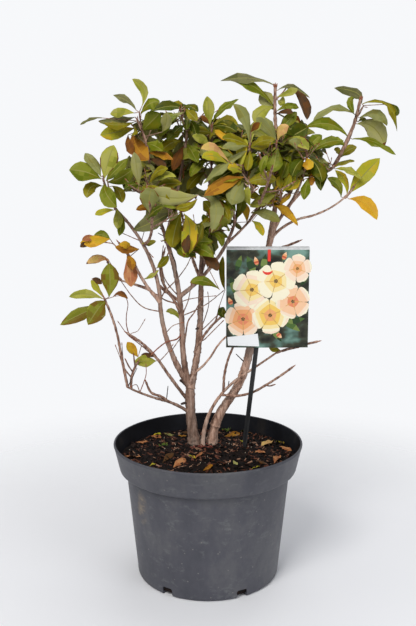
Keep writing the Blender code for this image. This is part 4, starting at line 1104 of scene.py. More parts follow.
# The leaves that show from the front, by the twig that bears them: the pixels of foot, middle and tip, how far
# the tip comes forward in mm, the width in mm, the turn of the upper face in degrees from the viewer to the
# sky, and the tint. Past 90 degrees the under face shows.
SHOWN_LEAVES = {
    "left_leaves": [
        ((101, 179), (86, 172), (69, 170), 8, 27, 12, "fresh"),
        ((101, 177), (94, 164), (85, 153), -12, 20, 40, "grey"),
        ((104, 179), (108, 162), (114, 145), 4, 25, 8, "light"),
        ((102, 186), (91, 187), (87, 198), 14, 17, 15, "olive"),
        ((104, 184), (107, 195), (117, 207), 22, 24, -20, "fresh"),
        ((106, 181), (115, 171), (128, 158), -14, 18, 30, "fresh"),
        ((107, 182), (120, 178), (134, 168), 12, 20, 25, "fresh"),
        ((114, 210), (104, 211), (95, 215), 8, 10, 30, "lime"),
        ((116, 207), (118, 218), (117, 229), 6, 13, 5, "light"),
        ((117, 209), (121, 222), (119, 236), -6, 12, 20, "fresh"),
        ((112, 186), (119, 192), (122, 203), 4, 15, 10, "olive"),
    ],
    "upper_left_leaves": [
        ((142, 106), (144, 90), (132, 79), 6, 13, 20, "light"),
        ((141, 114), (149, 104), (160, 102), 10, 17, 30, "fresh"),
        ((136, 110), (127, 101), (113, 95), -10, 12, 42, "dusk"),
        ((135, 117), (118, 120), (98, 121), -6, 17, 45, "dusk"),
        ((103, 118), (91, 119), (80, 125), -10, 4, 30, "dusk"),
        ((134, 113), (122, 112), (110, 114), -22, 14, 25, "light"),
        ((134, 122), (119, 125), (104, 123), 10, 13, 40, "olive"),
        # a lighter tint than this leaf's own: painted light where the leaf above shades it
        ((135, 128), (117, 132), (100, 135), 22, 20, 5, "lime"),
        ((133, 133), (137, 147), (149, 160), 26, 25, 5, "orange"),
        ((128, 135), (129, 145), (134, 155), 20, 12, 20, "rust"),
        ((142, 131), (151, 122), (160, 113), 20, 26, 0, "fresh"),
        ((162, 132), (166, 123), (166, 112), 26, 15, 5, "sage"),
        ((146, 143), (155, 146), (163, 151), 26, 16, 20, "fresh"),
        ((148, 153), (160, 154), (173, 160), 30, 10, 25, "orange"),
        ((149, 159), (158, 161), (166, 167), 24, 11, 25, "dun"),
    ],
    "upper_mid_leaves": [
        ((186, 112), (172, 106), (149, 112), 6, 16, 40, "deep"),
        ((187, 112), (178, 105), (166, 108), -16, 14, 40, "olive"),
        ((184, 106), (192, 107), (198, 112), 2, 13, 40, "deep"),
        ((186, 109), (191, 114), (197, 121), 12, 14, 15, "olive"),
        ((178, 116), (184, 122), (187, 132), 18, 10, 55, "light"),
        ((189, 120), (194, 127), (196, 138), 14, 16, 15, "deep"),
        ((188, 117), (185, 110), (180, 105), 12, 12, 10, "deep"),
        ((189, 116), (187, 122), (187, 130), 18, 11, 10, "deep"),
        ((184, 126), (179, 128), (173, 134), 18, 12, 20, "deep"),
        ((184, 130), (175, 133), (167, 141), 22, 15, 30, "fresh"),
        ((182, 141), (171, 143), (161, 152), 28, 18, 20, "olive"),
        ((184, 146), (178, 157), (173, 171), 30, 14, 5, "rust"),
        ((187, 144), (192, 152), (198, 163), 24, 16, 15, "fresh"),
    ],
    "centre_top_leaves": [
        ((210, 125), (209, 111), (207, 96), 6, 17, 5, "light"),
        ((209, 124), (206, 120), (201, 116), 4, 9, 30, "rust"),
        ((213, 122), (222, 110), (239, 99), -8, 14, 45, "fresh"),
        ((213, 125), (225, 121), (238, 125), 12, 18, 40, "olive"),
        ((213, 127), (225, 126), (237, 132), 22, 20, 15, "deep"),
        ((212, 131), (222, 134), (229, 141), 24, 16, 20, "gold"),
        ((211, 132), (200, 123), (191, 118), -10, 14, 50, "deep"),
        ((211, 133), (200, 131), (188, 133), 14, 20, 25, "olive"),
        ((209, 146), (203, 139), (192, 136), 10, 15, 30, "light"),
        ((207, 160), (198, 165), (190, 177), 24, 15, 20, "fresh"),
        ((206, 172), (196, 178), (187, 190), 26, 15, 10, "olive"),
    ],
    "centre_leaves": [
        ((249, 142), (245, 118), (233, 104), 4, 17, 22, "grey"),
        ((251, 143), (254, 128), (262, 118), -14, 15, 30, "light"),
        ((249, 149), (228, 163), (203, 184), 22, 14, 38, "grey"),
        ((248, 146), (236, 145), (222, 148), 26, 14, 35, "grey"),
        ((229, 162), (215, 149), (201, 149), 20, 16, 35, "peach"),
        ((228, 164), (214, 156), (202, 158), 30, 15, 25, "lime"),
        ((252, 147), (262, 141), (275, 140), 16, 16, 40, "olive"),
        ((249, 146), (236, 140), (222, 138), 18, 18, 35, "olive"),
        ((250, 150), (249, 160), (247, 171), 14, 12, 10, "olive"),
        ((258, 158), (252, 162), (248, 170), 24, 20, 5, "deep"),
        ((251, 132), (255, 127), (260, 123), 14, 9, 20, "rust"),
    ],
    "leader_leaves": [
        ((274, 85), (249, 78), (220, 81), 4, 17, 50, "dusk"),
        ((274, 107), (256, 88), (235, 82), 14, 15, 35, "fresh"),
        ((274, 110), (267, 101), (263, 91), -10, 22, 5, "sage"),
        ((274, 107), (262, 111), (254, 122), 16, 20, 20, "light"),
        ((277, 97), (288, 93), (298, 89), 14, 11, 25, "light"),
        ((278, 90), (292, 87), (310, 98), -12, 13, 50, "dusk"),
        ((290, 88), (304, 101), (307, 120), 4, 15, 10, "dun"),
        ((277, 111), (288, 106), (299, 108), -6, 13, 40, "fresh"),
        ((277, 114), (285, 111), (293, 113), 12, 9, 30, "dun"),
        ((280, 132), (288, 121), (297, 112), 6, 17, 15, "fresh"),
        ((278, 100), (281, 103), (283, 96), -8, 10, 10, "light"),
    ],
    "leader_side_leaves": [
        ((276, 140), (265, 127), (256, 118), 16, 17, 30, "grey"),
        ((276, 139), (271, 127), (265, 117), -8, 14, 35, "grey"),
        ((278, 140), (281, 131), (289, 126), 12, 15, 20, "peach"),
        ((281, 142), (296, 134), (308, 127), 18, 27, 12, "deep"),
        ((274, 143), (263, 144), (251, 148), 24, 18, 30, "olive"),
        ((281, 144), (296, 141), (309, 150), 26, 19, 25, "light"),
        ((278, 148), (275, 160), (273, 172), 34, 24, 5, "fresh"),
        ((290, 152), (286, 165), (281, 179), 20, 18, 10, "fresh"),
        ((273, 143), (262, 134), (252, 130), 20, 14, 30, "light"),
    ],
    "right_centre_leaves": [
        ((306, 153), (300, 145), (289, 141), 14, 17, 30, "grey"),
        ((308, 152), (314, 141), (322, 135), -8, 18, 30, "fresh"),
        ((309, 154), (325, 143), (344, 141), 10, 15, 35, "fresh"),
        ((305, 158), (297, 165), (292, 177), 22, 18, 10, "deep"),
        ((309, 157), (318, 168), (322, 182), 20, 22, 12, "deep"),
        ((306, 158), (308, 163), (307, 170), 26, 16, 5, "gold"),
    ],
    "right_mid_leaves": [
        ((334, 168), (343, 163), (355, 161), -10, 10, 50, "olive"),
        ((335, 169), (348, 170), (361, 179), 12, 13, 45, "light"),
        ((331, 169), (322, 172), (321, 191), 24, 20, 5, "deep"),
        ((332, 170), (321, 166), (312, 160), 14, 20, 20, "grey"),
    ],
    "right_end_leaves": [
        ((349, 194), (362, 177), (380, 158), 10, 26, 10, "lime"),
        ((349, 199), (365, 203), (377, 220), 18, 20, 15, "gold"),
        ((347, 194), (345, 181), (335, 170), -12, 13, 30, "lime"),
        ((341, 197), (338, 185), (327, 178), 8, 14, 20, "fresh"),
    ],
    "right_top_leaves": [
        ((361, 104), (357, 93), (334, 88), 6, 17, 35, "dusk"),
        ((357, 97), (350, 101), (354, 113), 14, 10, 15, "fresh"),
        ((362, 104), (387, 104), (397, 132), 6, 9, 40, "olive"),
        ((391, 104), (396, 109), (397, 116), 8, 8, 20, "deep"),
        ((359, 118), (376, 114), (387, 126), 16, 18, 35, "grey"),
        ((357, 124), (373, 127), (385, 146), -8, 28, -5, "sage"),
        ((352, 139), (372, 141), (396, 155), 10, 13, 45, "fresh"),
        ((356, 115), (334, 108), (313, 121), -6, 14, 45, "grey"),
        ((348, 137), (330, 124), (306, 127), 8, 19, 30, "fresh"),
        ((346, 147), (334, 141), (313, 150), 14, 17, 30, "fresh"),
        ((340, 158), (347, 151), (357, 147), 10, 15, 25, "olive"),
        ((340, 157), (338, 151), (334, 150), 4, 9, 20, "olive"),
        ((358, 122), (362, 119), (366, 120), 4, 6, 30, "deep"),
    ],
    "right_inner_leaves": [
        ((283, 192), (287, 184), (290, 175), 10, 12, 15, "lime"),
        ((284, 190), (293, 186), (300, 180), 12, 12, 20, "lime"),
        ((282, 190), (280, 183), (281, 175), 4, 12, 25, "lime"),
        ((308, 178), (306, 188), (304, 200), 16, 14, 8, "fresh"),
        ((313, 176), (312, 180), (311, 186), 6, 8, 10, "orange"),
        ((273, 206), (285, 210), (298, 226), 20, 13, 25, "gold"),
        ((277, 194), (264, 199), (250, 207), 18, 17, 30, "light"),
        ((276, 193), (266, 191), (259, 194), 8, 15, 20, "fresh"),
        ((251, 213), (266, 213), (280, 222), 12, 18, 30, "grey"),
        ((252, 221), (259, 226), (263, 236), 8, 12, 25, "lime"),
    ],
    "centre_front_leaves": [
        ((244, 177), (226, 183), (204, 196), 16, 21, 20, "orange"),
        ((242, 173), (235, 168), (228, 169), 14, 16, 15, "lime"),
        # a paler tint: partly painted light, where the crown above shades this leaf
        ((244, 182), (237, 191), (232, 205), 20, 27, 5, "grey"),
        ((204, 197), (222, 197), (236, 212), 22, 13, 45, "deep"),
        ((203, 196), (216, 206), (211, 233), 28, 21, 10, "grey"),
        ((212, 200), (222, 206), (229, 220), 14, 16, 20, "olive"),
        ((246, 184), (260, 179), (277, 180), 14, 20, 20, "olive"),
        ((247, 222), (246, 212), (244, 202), 10, 12, 20, "gold"),
        ((236, 219), (241, 207), (241, 194), 14, 15, 15, "fresh"),
        ((251, 206), (247, 197), (249, 187), 12, 13, 20, "light"),
    ],
    "centre_low_leaves": [
        # a lighter tint: partly painted light, where other leaves shade this one
        ((210, 233), (222, 219), (228, 201), 40, 26, 0, "light"),
        ((209, 222), (211, 211), (203, 201), 26, 20, 20, "olive"),
        ((210, 234), (219, 236), (222, 247), 20, 12, 20, "fresh"),
    ],
    "lower_front_leaves": [
        ((181, 212), (175, 230), (172, 248), 26, 24, 0, "olive"),
        ((184, 214), (190, 231), (184, 258), 34, 24, -8, "lime"),
        ((184, 224), (186, 240), (185, 253), 60, 12, 0, "dun"),
        ((176, 240), (181, 250), (190, 257), 44, 14, 10, "fresh"),
        ((186, 253), (200, 249), (214, 258), 26, 16, 20, "fresh"),
        ((201, 254), (211, 261), (218, 271), 18, 16, 15, "dun"),
        ((219, 289), (204, 281), (190, 283), 20, 14, 15, "fresh"),
    ],
    "mid_left_leaves": [
        ((171, 212), (155, 221), (133, 230), 18, 22, 10, "dusk"),
        ((141, 243), (148, 243), (156, 241), 6, 9, 30, "olive"),
        ((152, 208), (145, 207), (136, 210), 8, 10, 20, "orange"),
        ((150, 186), (160, 175), (176, 177), 30, 14, 35, "light"),
        ((139, 186), (137, 170), (134, 152), 24, 15, 5, "sage"),
        ((149, 184), (157, 172), (168, 169), 26, 13, 35, "olive"),
        ((145, 188), (135, 184), (124, 189), 12, 12, 40, "deep"),
        ((151, 190), (166, 184), (182, 184), 22, 16, 30, "olive"),
    ],
    "front_left_leaves": [
        # a pale tint: partly painted light, the front light falling on this broad leaf
        ((198, 195), (172, 198), (144, 191), 10, 27, -5, "sage"),
        ((150, 213), (149, 200), (152, 187), 14, 26, 0, "grey"),
        ((197, 199), (188, 206), (175, 208), 14, 12, 20, "olive"),
    ],
    "left_rust_leaves": [
        ((110, 239), (96, 241), (80, 243), 10, 17, 10, "gold"),
        ((98, 240), (90, 238), (82, 240), 16, 9, 10, "pink"),
        ((93, 241), (87, 243), (80, 247), 14, 9, 10, "dun"),
        ((110, 239), (103, 235), (94, 235), -8, 14, 20, "fresh"),
        ((139, 249), (128, 249), (115, 247), 14, 14, 10, "orange"),
        ((130, 249), (127, 245), (119, 245), 18, 10, 10, "gold"),
        ((127, 256), (130, 271), (131, 287), 12, 20, 5, "pink"),
        ((127, 255), (131, 261), (132, 270), 18, 13, 5, "orange"),
    ],
    "left_lower_leaves": [
        ((109, 261), (99, 258), (86, 264), 6, 12, 15, "peach"),
    ],
    "far_left_low_leaves": [
        ((109, 297), (110, 281), (109, 263), 6, 26, 0, "turning"),
        ((105, 299), (97, 288), (91, 280), 4, 10, 30, "lime"),
        ((103, 299), (87, 294), (69, 297), 8, 14, 20, "light"),
        ((106, 301), (98, 309), (88, 325), 22, 27, -8, "turning"),
        ((104, 305), (83, 313), (60, 325), -6, 19, 15, "turning"),
        ((113, 297), (120, 293), (128, 299), 4, 8, 35, "rust"),
        ((92, 279), (96, 280), (102, 284), -2, 9, 20, "dun"),
    ],
    "low_left_leaves": [
        ((156, 361), (147, 361), (134, 362), 14, 19, 20, "light"),
        ((155, 357), (149, 355), (141, 355), 2, 8, 30, "dun"),
        ((138, 357), (133, 350), (127, 342), 10, 14, 10, "gold"),
    ],
    "middle_stem_leaf": [((280, 350), (275, 349), (269, 348), 4, 12, 30, "olive")],
    "inner_right_twigs": [((225, 290), (222, 275), (223, 256), 0, 10, 20, "olive")],
    "left_bough": [
        ((157, 268), (162, 263), (169, 256), 8, 12, 20, "olive"),
        ((144, 279), (151, 276), (159, 270), 6, 7, 30, "light"),
    ],
    "left_fork": [((181, 321), (174, 312), (166, 312), 8, 9, 20, "light")],
    "front_twig": [((225, 318), (222, 313), (224, 307), 0, 14, 20, "deep")],
}
# Where the crown ends against open air, and the small gaps in it that show the sky, in pixels.
CROWN_EDGE = [
    (128, 128), (146, 112), (160, 106), (172, 104), (186, 102), (196, 110), (203, 122), (212, 118), (224, 117),
    (237, 122), (250, 128), (262, 120), (270, 126), (280, 116), (290, 110), (298, 112), (305, 118), (312, 124),
    (318, 132), (322, 140), (330, 145), (325, 158), (332, 165), (330, 178), (328, 188), (318, 190), (305, 192),
    (298, 186), (290, 200), (283, 207), (272, 212), (262, 222), (250, 222), (235, 238), (222, 240), (215, 262),
    (200, 262), (184, 258), (172, 250), (166, 240), (160, 232), (140, 234), (134, 226), (143, 205), (140, 190),
    (122, 200), (118, 190), (125, 170), (120, 165), (126, 150),
]
SKY_GAPS = [
    (181, 125, 5), (171, 139, 3), (196, 124, 4), (205, 127, 4), (196, 217, 6), (166, 222, 4), (205, 187, 3),
    (214, 165, 4), (265, 187, 5), (258, 153, 3),
]
HIDING_GAP = 6      # pixels


def in_open_air(spot):
    """Whether a pixel lies outside the crown's edge or in one of its gaps."""
    inside = False
    for (ax, ay), (bx, by) in zip(CROWN_EDGE, CROWN_EDGE[1:] + CROWN_EDGE[:1]):
        if (ay > spot.y) != (by > spot.y) and spot.x < ax + (spot.y - ay) / (by - ay) * (bx - ax):
            inside = not inside
    return not inside or any((spot - Vector((x, y))).length < radius for x, y, radius in SKY_GAPS)


def hides_shown_leaf(spot, depth):
    return any(depth < shown_depth and (spot - shown).length < HIDING_GAP for shown, shown_depth in shown_marks)


# First the twigs of every mass, then the leaves that show, then the rest of the leaves behind and beside them.
twig_courses = {}
for mass in MASSES:
    mass_draw = random.Random(mass.seed)
    headings = [heading(*pair) for pair in mass.headings]
    steps = max(3, round(mass.length * MM / STEM_STEP))
    stem = course(point_at(limb_courses[mass.parent], mass.at), mass.length * MM, headings, steps)
    count = mass.shoots
    shoots = [side_shoot(mass_draw, stem, number, count, mass.shoot * MM) for number in range(count)]
    sprays = [whorl(mass_draw, points, mass.leaves, mass.leaf * MM, mass.spread) for points in [stem, *shoots]]
    twig_courses[mass.name] = list(zip([stem, *shoots], sprays))

blades = {name: Cluster() for name in [*twig_courses, "limb"]}
wood = {name: Cluster() for name in blades}
shown_marks, used_to = [], {}
for name, leaves in SHOWN_LEAVES.items():
    own = name if name in twig_courses else "limb"
    courses = [points for points, _ in twig_courses[name]] if name in twig_courses else [limb_courses[name]]
    looks = random.Random(name)
    for foot, middle, tip, near, width, turn, tint in leaves:
        start, gap, depth, number, place = nearest_point(courses, foot)
        used_to[name, number] = max(place + 1, used_to.get((name, number), 0))
        foot, middle, tip = (place_at(spot, depth - near * MM * share)
                             for spot, share in ((foot, 0), (middle, 0.5), (tip, 1)))
        frames = curved_frames(foot, middle, tip, facing_viewer(turn, tip - foot))
        add_blade(blades[own], frames, width * MM, tint, looks)
        shown_marks += [spot_of(frame[1]) for frame in frames[2:]]
        if (foot - start).length > STALK_GAP:
            stalk = rounded([start, foot + (foot - start) * 0.02], TWIG_STEP)
            add_tube(wood[own], twig_finish, stalk, tapered(len(stalk), FINE_RADII[0], STALK_RADIUS), 6)

buds = Cluster()
for mass in MASSES:
    looks = random.Random(mass.name)
    names, weights = zip(*MIXES[mass.tint])
    stout = STOUT if mass.name in STOUT_STEMS else 1.0
    middle = point_at(twig_courses[mass.name][0][0], 0.8)
    sprays = []
    for number, (points, leaves) in enumerate(twig_courses[mass.name]):
        radii = SHOOT_RADII if number else [radius * stout for radius in STEM_RADII]
        sprays.append((points, leaves, radii, SHOOT_BUD if number else STEM_BUD, number))
        for _ in range(FINE_TWIGS if mass.leaves > 4 else 0):
            size, share = looks.uniform(*FINE_LENGTH), looks.uniform(0.4, 0.85)
            turn, tilt = looks.uniform(0, math.tau), math.radians(looks.uniform(35, 60))
            fine = branch_off(points, share, turn, tilt, size, SHOOT_STEPS)
            fine_leaves = whorl(looks, fine, looks.choice((3, 4)), mass.leaf * FINE_LEAF * MM, mass.spread)
            sprays.append((fine, fine_leaves, FINE_RADII, FINE_BUD, -1))
    for points, leaves, radii, bud, number in sprays:
        spray_tint = looks.choices(names, weights)[0]
        kept = 0
        for leaf in leaves:
            root, along, upper, size, droop = leaf
            end = root + along * size - Vector((0, 0, droop * size))
            tint = spray_tint if looks.random() < LIKE_SHARE else looks.choices(names, weights)[0]
            bend = 0.35 + 3.2 * droop + looks.uniform(-0.1, 0.35)
            frames = grown_frames(leaf, bend, looks.uniform(-0.55, 0.55))
            marks = [spot_of(frame[1]) for frame in frames[2:]]
            edges = [spot_of(frames[5][1] + frames[5][2] * side * 0.12 * size)[0] for side in (-1, 1)]
            if ((end - middle).length > mass.reach * MM or end.z < LOWEST_LEAF
                    or any(in_open_air(spot) for spot in [*edges, *(spot for spot, _ in marks)])
                    or any(hides_shown_leaf(*mark) for mark in marks[1:])):
                continue
            add_blade(blades[mass.name], frames, LEAF_WIDTH * size * looks.uniform(0.8, 1.2), tint, looks)
            kept += 1
        whole = kept or number == 0 or not mass.leaves or number > 0 and not in_open_air(spot_of(points[-1])[0])
        curve = rounded(points, TWIG_STEP)
        if not whole:
            curve = curve[:used_to.get((mass.name, number), 0)]
        if len(curve) < 2:
            continue
        add_tube(wood[mass.name], twig_finish, curve, tapered(len(curve), *radii), 8, twig_relief)
        if whole:
            ahead = (curve[-1] - curve[-2]).normalized()
            add_bud(buds, curve[-1], ahead, bud)
            for turn in range(SIDE_BUDS if radii[0] > STEM_RADII[0] else 0):
                aside = Matrix.Rotation(turn * math.tau / SIDE_BUDS, 3, ahead) @ square_to(ahead)
                add_bud(buds, curve[-1] + (aside * 1.7 - ahead) * MM, (ahead + 0.25 * aside).normalized(), bud)

for name in blades:
    if wood[name].faces:
        wood[name].settle(name + ".wood", "foliage", *([name] if name in twig_courses else []))
    if blades[name].faces:
        blades[name].settle(name + ".blades", "foliage")
buds.settle("tip_buds", "foliage")

# Fallen leaves: old blades that lie curled and dry on the mix, with two small tufts of moss between them.
Fallen = namedtuple("Fallen", "x y length azimuth tint")
FALLEN_LEAVES = [
    Fallen(40, 74, 33, 40, "orange"), Fallen(56, 36, 19, -54, "lime"), Fallen(60, 108, 18, -63, "lime"),
    Fallen(70, 100, 13, -58, "dun"), Fallen(94, 41, 46, 58, "peach"), Fallen(116, 56, 28, -64, "lime"),
    Fallen(132, 31, 29, -55, "pink"), Fallen(78, -9, 21, 0, "pink"), Fallen(104, -28, 36, 74, "pink"),
    Fallen(79, -50, 19, -43, "dun"), Fallen(70, -69, 15, 32, "lime"), Fallen(-80, 118, 32, -58, "sage"),
    Fallen(-88, 92, 18, -16, "lime"), Fallen(-122, 63, 24, -30, "pink"), Fallen(-118, -13, 34, -27, "pink"),
    Fallen(-82, -55, 10, 24, "lime"), Fallen(-42, -56, 32, 58, "pink"), Fallen(-24, -36, 15, -37, "lime"),
    Fallen(-12, -26, 32, 64, "pink"), Fallen(-38, 94, 20, -33, "dun"), Fallen(-42, 73, 18, -34, "orange"),
    Fallen(-60, -35, 30, 60, "dun"), Fallen(0, -77, 21, 49, "orange"), Fallen(40, -61, 17, -73, "sage"),
    Fallen(-106, 97, 32, -54, "pink"),
]
FALLEN_RAISE, WALL_GAP = 3.2 * MM, 4 * MM
MOSS_TUFTS = [(-71 * MM, 24 * MM), (31 * MM, 118 * MM)]
MOSS_BLADES, MOSS_SPREAD = 42, 5.5 * MM

litter, moss = Cluster(), Cluster()
draw = random.Random(23)
for leaf in FALLEN_LEAVES:
    middle, azimuth = Vector((leaf.x, leaf.y)) * MM, math.radians(leaf.azimuth)
    along = Vector((math.cos(azimuth), math.sin(azimuth)))
    reach = leaf.length * MM / 2
    over = max((middle + along * reach * side).length - (soil_edge - WALL_GAP) for side in (-1, 1))
    if over > 0:
        middle -= middle.normalized() * over
    spots = [middle + along * reach * share for share in (-1, 0, 1)]
    lifts = [FALLEN_RAISE * share for share in (draw.uniform(0.2, 0.8), 0.9, draw.uniform(0.3, 1.5))]
    foot, crown, tip = (Vector((*spot, soil_height(*spot) + lift)) for spot, lift in zip(spots, lifts))
    tilt = Vector((draw.uniform(-0.35, 0.35), draw.uniform(-0.35, 0.35), 1)).normalized()
    frames = curved_frames(foot, crown, tip, lambda place, ahead: tilt)
    width = leaf.length * MM * draw.uniform(0.26, 0.40)
    add_blade(litter, frames, width, leaf.tint, draw, curl=draw.uniform(-0.3, 0.5))
litter.settle("fallen_leaves", "foliage")

moss_finish = plain_finish("moss", (0.14, 0.22, 0.03), 0.8)
for x, y in MOSS_TUFTS:
    for number in range(MOSS_BLADES):
        spot = (draw.gauss(x, MOSS_SPREAD * 0.5), draw.gauss(y, MOSS_SPREAD * 0.5))
        foot = Vector((*spot, soil_height(*spot) - 0.5 * MM))
        lean = Vector((draw.uniform(-1, 1), draw.uniform(-1, 1), 1.2)) * draw.uniform(2, 4) * MM
        add_tube(moss, moss_finish, [foot, foot + lean * 0.6, foot + lean], [0.5 * MM, 0.4 * MM, 0.12 * MM], 4)
moss.settle("moss_tufts", "growing_mix")

# The picture label: a stiff printed card, a little bowed, with its top edge folded back and a bare white
# sticker at its foot. The picture is a garland of simple flowers over dark blurred leaves, under a clear film.
card_low, card_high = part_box("label_card")
CARD_TOP, CARD_THICK, CARD_CUTS = 502 * MM, 0.8 * MM, 23
CARD_MIDDLE, CARD_HALF = (card_low.x + card_high.x) / 2, (card_high.x - card_low.x) / 2
FLAP_STEPS = [(1.5, 2.6), (2.5, 1.4), (4.5, 0.4)]      # mm back and up, from fold to edge
PRINT_ROOT = -0.1 * MM                                 # the back of each print lies just inside the card


def card_front(x, z):
    """How far back the card's printed face stands: its middle bows forward, and its top is a little twisted."""
    across = (x - CARD_MIDDLE) / CARD_HALF
    rise = (z - card_low.z) / (CARD_TOP - card_low.z)
    return card_low.y + (1.5 * across * across - 0.6 + 0.5 * rise * across) * MM


def pick(piece, kind, wanted):
    """Selects those of the active piece's edges or faces that pass a test, and nothing else."""
    with editing("DESELECT"):
        pass
    for part in getattr(piece.data, kind):
        part.select = wanted(part)


def on_top_edge(edge):
    return all(card.data.vertices[end].co.z > CARD_TOP - 0.1 * MM for end in edge.vertices)


print_finish = plain_finish("card_print", (0.04, 0.09, 0.075), 0.24)
colour_by(print_finish, clouds(print_finish, 34, 2.5, 0.5, (1, 1, 1.5)), (0.36, (0.010, 0.012, 0.008)),
          (0.48, (0.045, 0.050, 0.030)), (0.57, (0.085, 0.160, 0.130)), (0.68, (0.19, 0.33, 0.28)))
roughen(print_finish, clouds(print_finish, 16, 4), 0.18, 0.36)
card_finish = plain_finish("card_white", (0.62, 0.64, 0.66), 0.5)
colour_by(card_finish, clouds(card_finish, 180, 4), (0.3, (0.50, 0.52, 0.545)), (0.7, (0.66, 0.68, 0.70)))

card = start_piece(bpy.ops.mesh.primitive_plane_add, "picture_card", print_finish, card_finish, size=1,
                   location=(CARD_MIDDLE, card_low.y, (card_low.z + CARD_TOP) / 2),
                   rotation=(math.radians(90), 0, 0))
card.scale = (2 * CARD_HALF, CARD_TOP - card_low.z, 1)
bpy.ops.object.transform_apply(location=True, rotation=True, scale=True)
with editing("SELECT"):
    bpy.ops.mesh.subdivide(number_cuts=CARD_CUTS)
pick(card, "edges", on_top_edge)
with editing():
    bpy.ops.mesh.select_mode(type="EDGE")
    for back, up in FLAP_STEPS:
        bpy.ops.mesh.extrude_region_move(TRANSFORM_OT_translate={"value": (0, back * MM, up * MM)})
    bpy.ops.mesh.select_mode(type="VERT")
sheet = card.modifiers.new("sheet", "SOLIDIFY")
sheet.thickness, sheet.offset = CARD_THICK, -1
bpy.ops.object.modifier_apply(modifier="sheet")
for face in card.data.polygons:
    face.material_index = 0 if face.normal.y < -0.9 and face.center.z < CARD_TOP else 1
for corner in card.data.vertices:
    corner.co.y += card_front(corner.co.x, corner.co.z) - card_low.y
settle_piece(card, "label_card", "label_card", smooth_angle=40)


def add_print(cluster, rows, level, shades):
    """A closed film of ink from rows of (x, z) places, so high above the card, with a shade for each row."""
    lanes, last = len(rows[0]), (len(rows) - 1) * len(rows[0])
    back = last + lanes
    corners = []
    for lift in (level, PRINT_ROOT):
        corners += [Vector((x, card_front(x, z) - lift, z)) for row in rows for x, z in row]
    faces, finishes = [], []
    for row, shade in zip(range(0, last, lanes), shades):
        for a in range(row, row + lanes - 1):
            faces.append((a, a + lanes, a + lanes + 1, a + 1))
            faces.append((back + a, back + a + 1, back + a + lanes + 1, back + a + lanes))
            finishes += [shade, shade]
    rim = [*range(lanes), *range(2 * lanes - 1, back, lanes), *range(back - 2, last - 1, -1),
           *range(last - lanes, 0, -lanes)]
    for here, after in zip(rim, rim[1:] + rim[:1]):
        faces.append((here, after, back + after, back + here))
        finishes.append(shades[min(here // lanes, len(shades) - 1)])
    cluster.add_shape(corners, faces, *finishes)


# Places along a petal from the flower's middle, and its half width there, as shares of its length.
PETAL_SHAPE = ((0.10, 0.05), (0.30, 0.17), (0.52, 0.34), (0.72, 0.44), (0.87, 0.42), (0.96, 0.30), (1.0, 0.12))


def petal_rows(middle, radius, turn, width, ruffle):
    """A broad petal from the flower's middle out, as rows of places across it."""
    rows = []
    for out, wide in PETAL_SHAPE:
        row = []
        for lane in (-1, -0.66, -0.33, 0, 0.33, 0.66, 1):
            reach = out * radius * (1 - 0.05 * lane * lane) + ruffle * math.sin(lane * 7 + turn * 3) * out ** 3
            aside = wide * radius * width * lane
            row.append((middle[0] + reach * math.cos(turn) - aside * math.sin(turn),
                        middle[1] + reach * math.sin(turn) + aside * math.cos(turn)))
        rows.append(row)
    return rows


LANCE_PLACES = (0.02, 0.15, 0.3, 0.5, 0.7, 0.86, 0.98)
LANCE_CELLS = len(LANCE_PLACES) - 1


def lance_rows(foot, tip, width):
    """A pointed leaf or a bud between two places, as rows across it."""
    foot, run = Vector(foot), Vector(tip) - Vector(foot)
    aside = Vector((-run.y, run.x)).normalized() * width
    rows = []
    for share in LANCE_PLACES:
        wide = math.sin(math.pi * share ** 0.85) * 0.5
        rows.append([foot + run * share + aside * wide * lane for lane in (-1, -0.5, 0, 0.5, 1)])
    return rows


# The garland runs from the lower left of the card to the upper right. Each flower is (x, z, radius) in mm, its
# turn in degrees, and its colours from the throat out to the petals' edges.
Flower = namedtuple("Flower", "x z radius turn shades")
INKS = {
    "cream": (0.93, 0.87, 0.66), "butter": (0.92, 0.76, 0.38), "yellow": (0.88, 0.58, 0.13),
    "peach": (0.92, 0.58, 0.36), "blush": (0.93, 0.74, 0.58), "orange": (0.86, 0.40, 0.17),
    "coral": (0.78, 0.26, 0.13), "leaf_dark": (0.022, 0.055, 0.018), "leaf_mid": (0.07, 0.14, 0.03),
    "leaf_light": (0.17, 0.24, 0.06), "stamen": (0.72, 0.40, 0.12), "bud_red": (0.55, 0.11, 0.05),
}
FLOWERS = [
    Flower(53, 397, 28, 20, ("coral", "orange", "peach", "blush", "blush", "cream")),
    Flower(66, 442, 30, 5, ("yellow", "butter", "blush", "cream", "cream", "cream")),
    Flower(94, 403, 29, 58, ("orange", "yellow", "butter", "cream", "blush", "cream")),
    Flower(128, 424, 27, 33, ("coral", "peach", "peach", "blush", "cream", "cream")),
    Flower(102, 455, 30, 75, ("yellow", "butter", "cream", "cream", "cream", "cream")),
    Flower(134, 474, 22, 12, ("orange", "peach", "blush", "blush", "cream", "cream")),
]
PRINTED_LEAVES = [
    ((45, 432), (33, 462), 11), ((70, 466), (58, 493), 12), ((110, 400), (140, 378), 12),
    ((96, 385), (112, 362), 10), ((36, 384), (32, 410), 9), ((140, 448), (149, 470), 9),
    ((82, 470), (86, 496), 10), ((120, 392), (147, 398), 10), ((42, 470), (50, 494), 9),
]
PRINTED_BUDS = [
    ((112, 486), (117, 499), 7), ((74, 478), (70, 492), 7), ((36, 418), (31, 430), 7),
    ((104, 376), (112, 368), 7),
]
LEAF_SHADES = ("leaf_mid", "leaf_light", "leaf_dark")
BUD_SHADES = ("leaf_light", "coral", "bud_red", "orange", "peach", "peach")
PETALS = 5
inks = {name: plain_finish("ink_" + name, colour, 0.26) for name, colour in INKS.items()}
garland = Cluster()
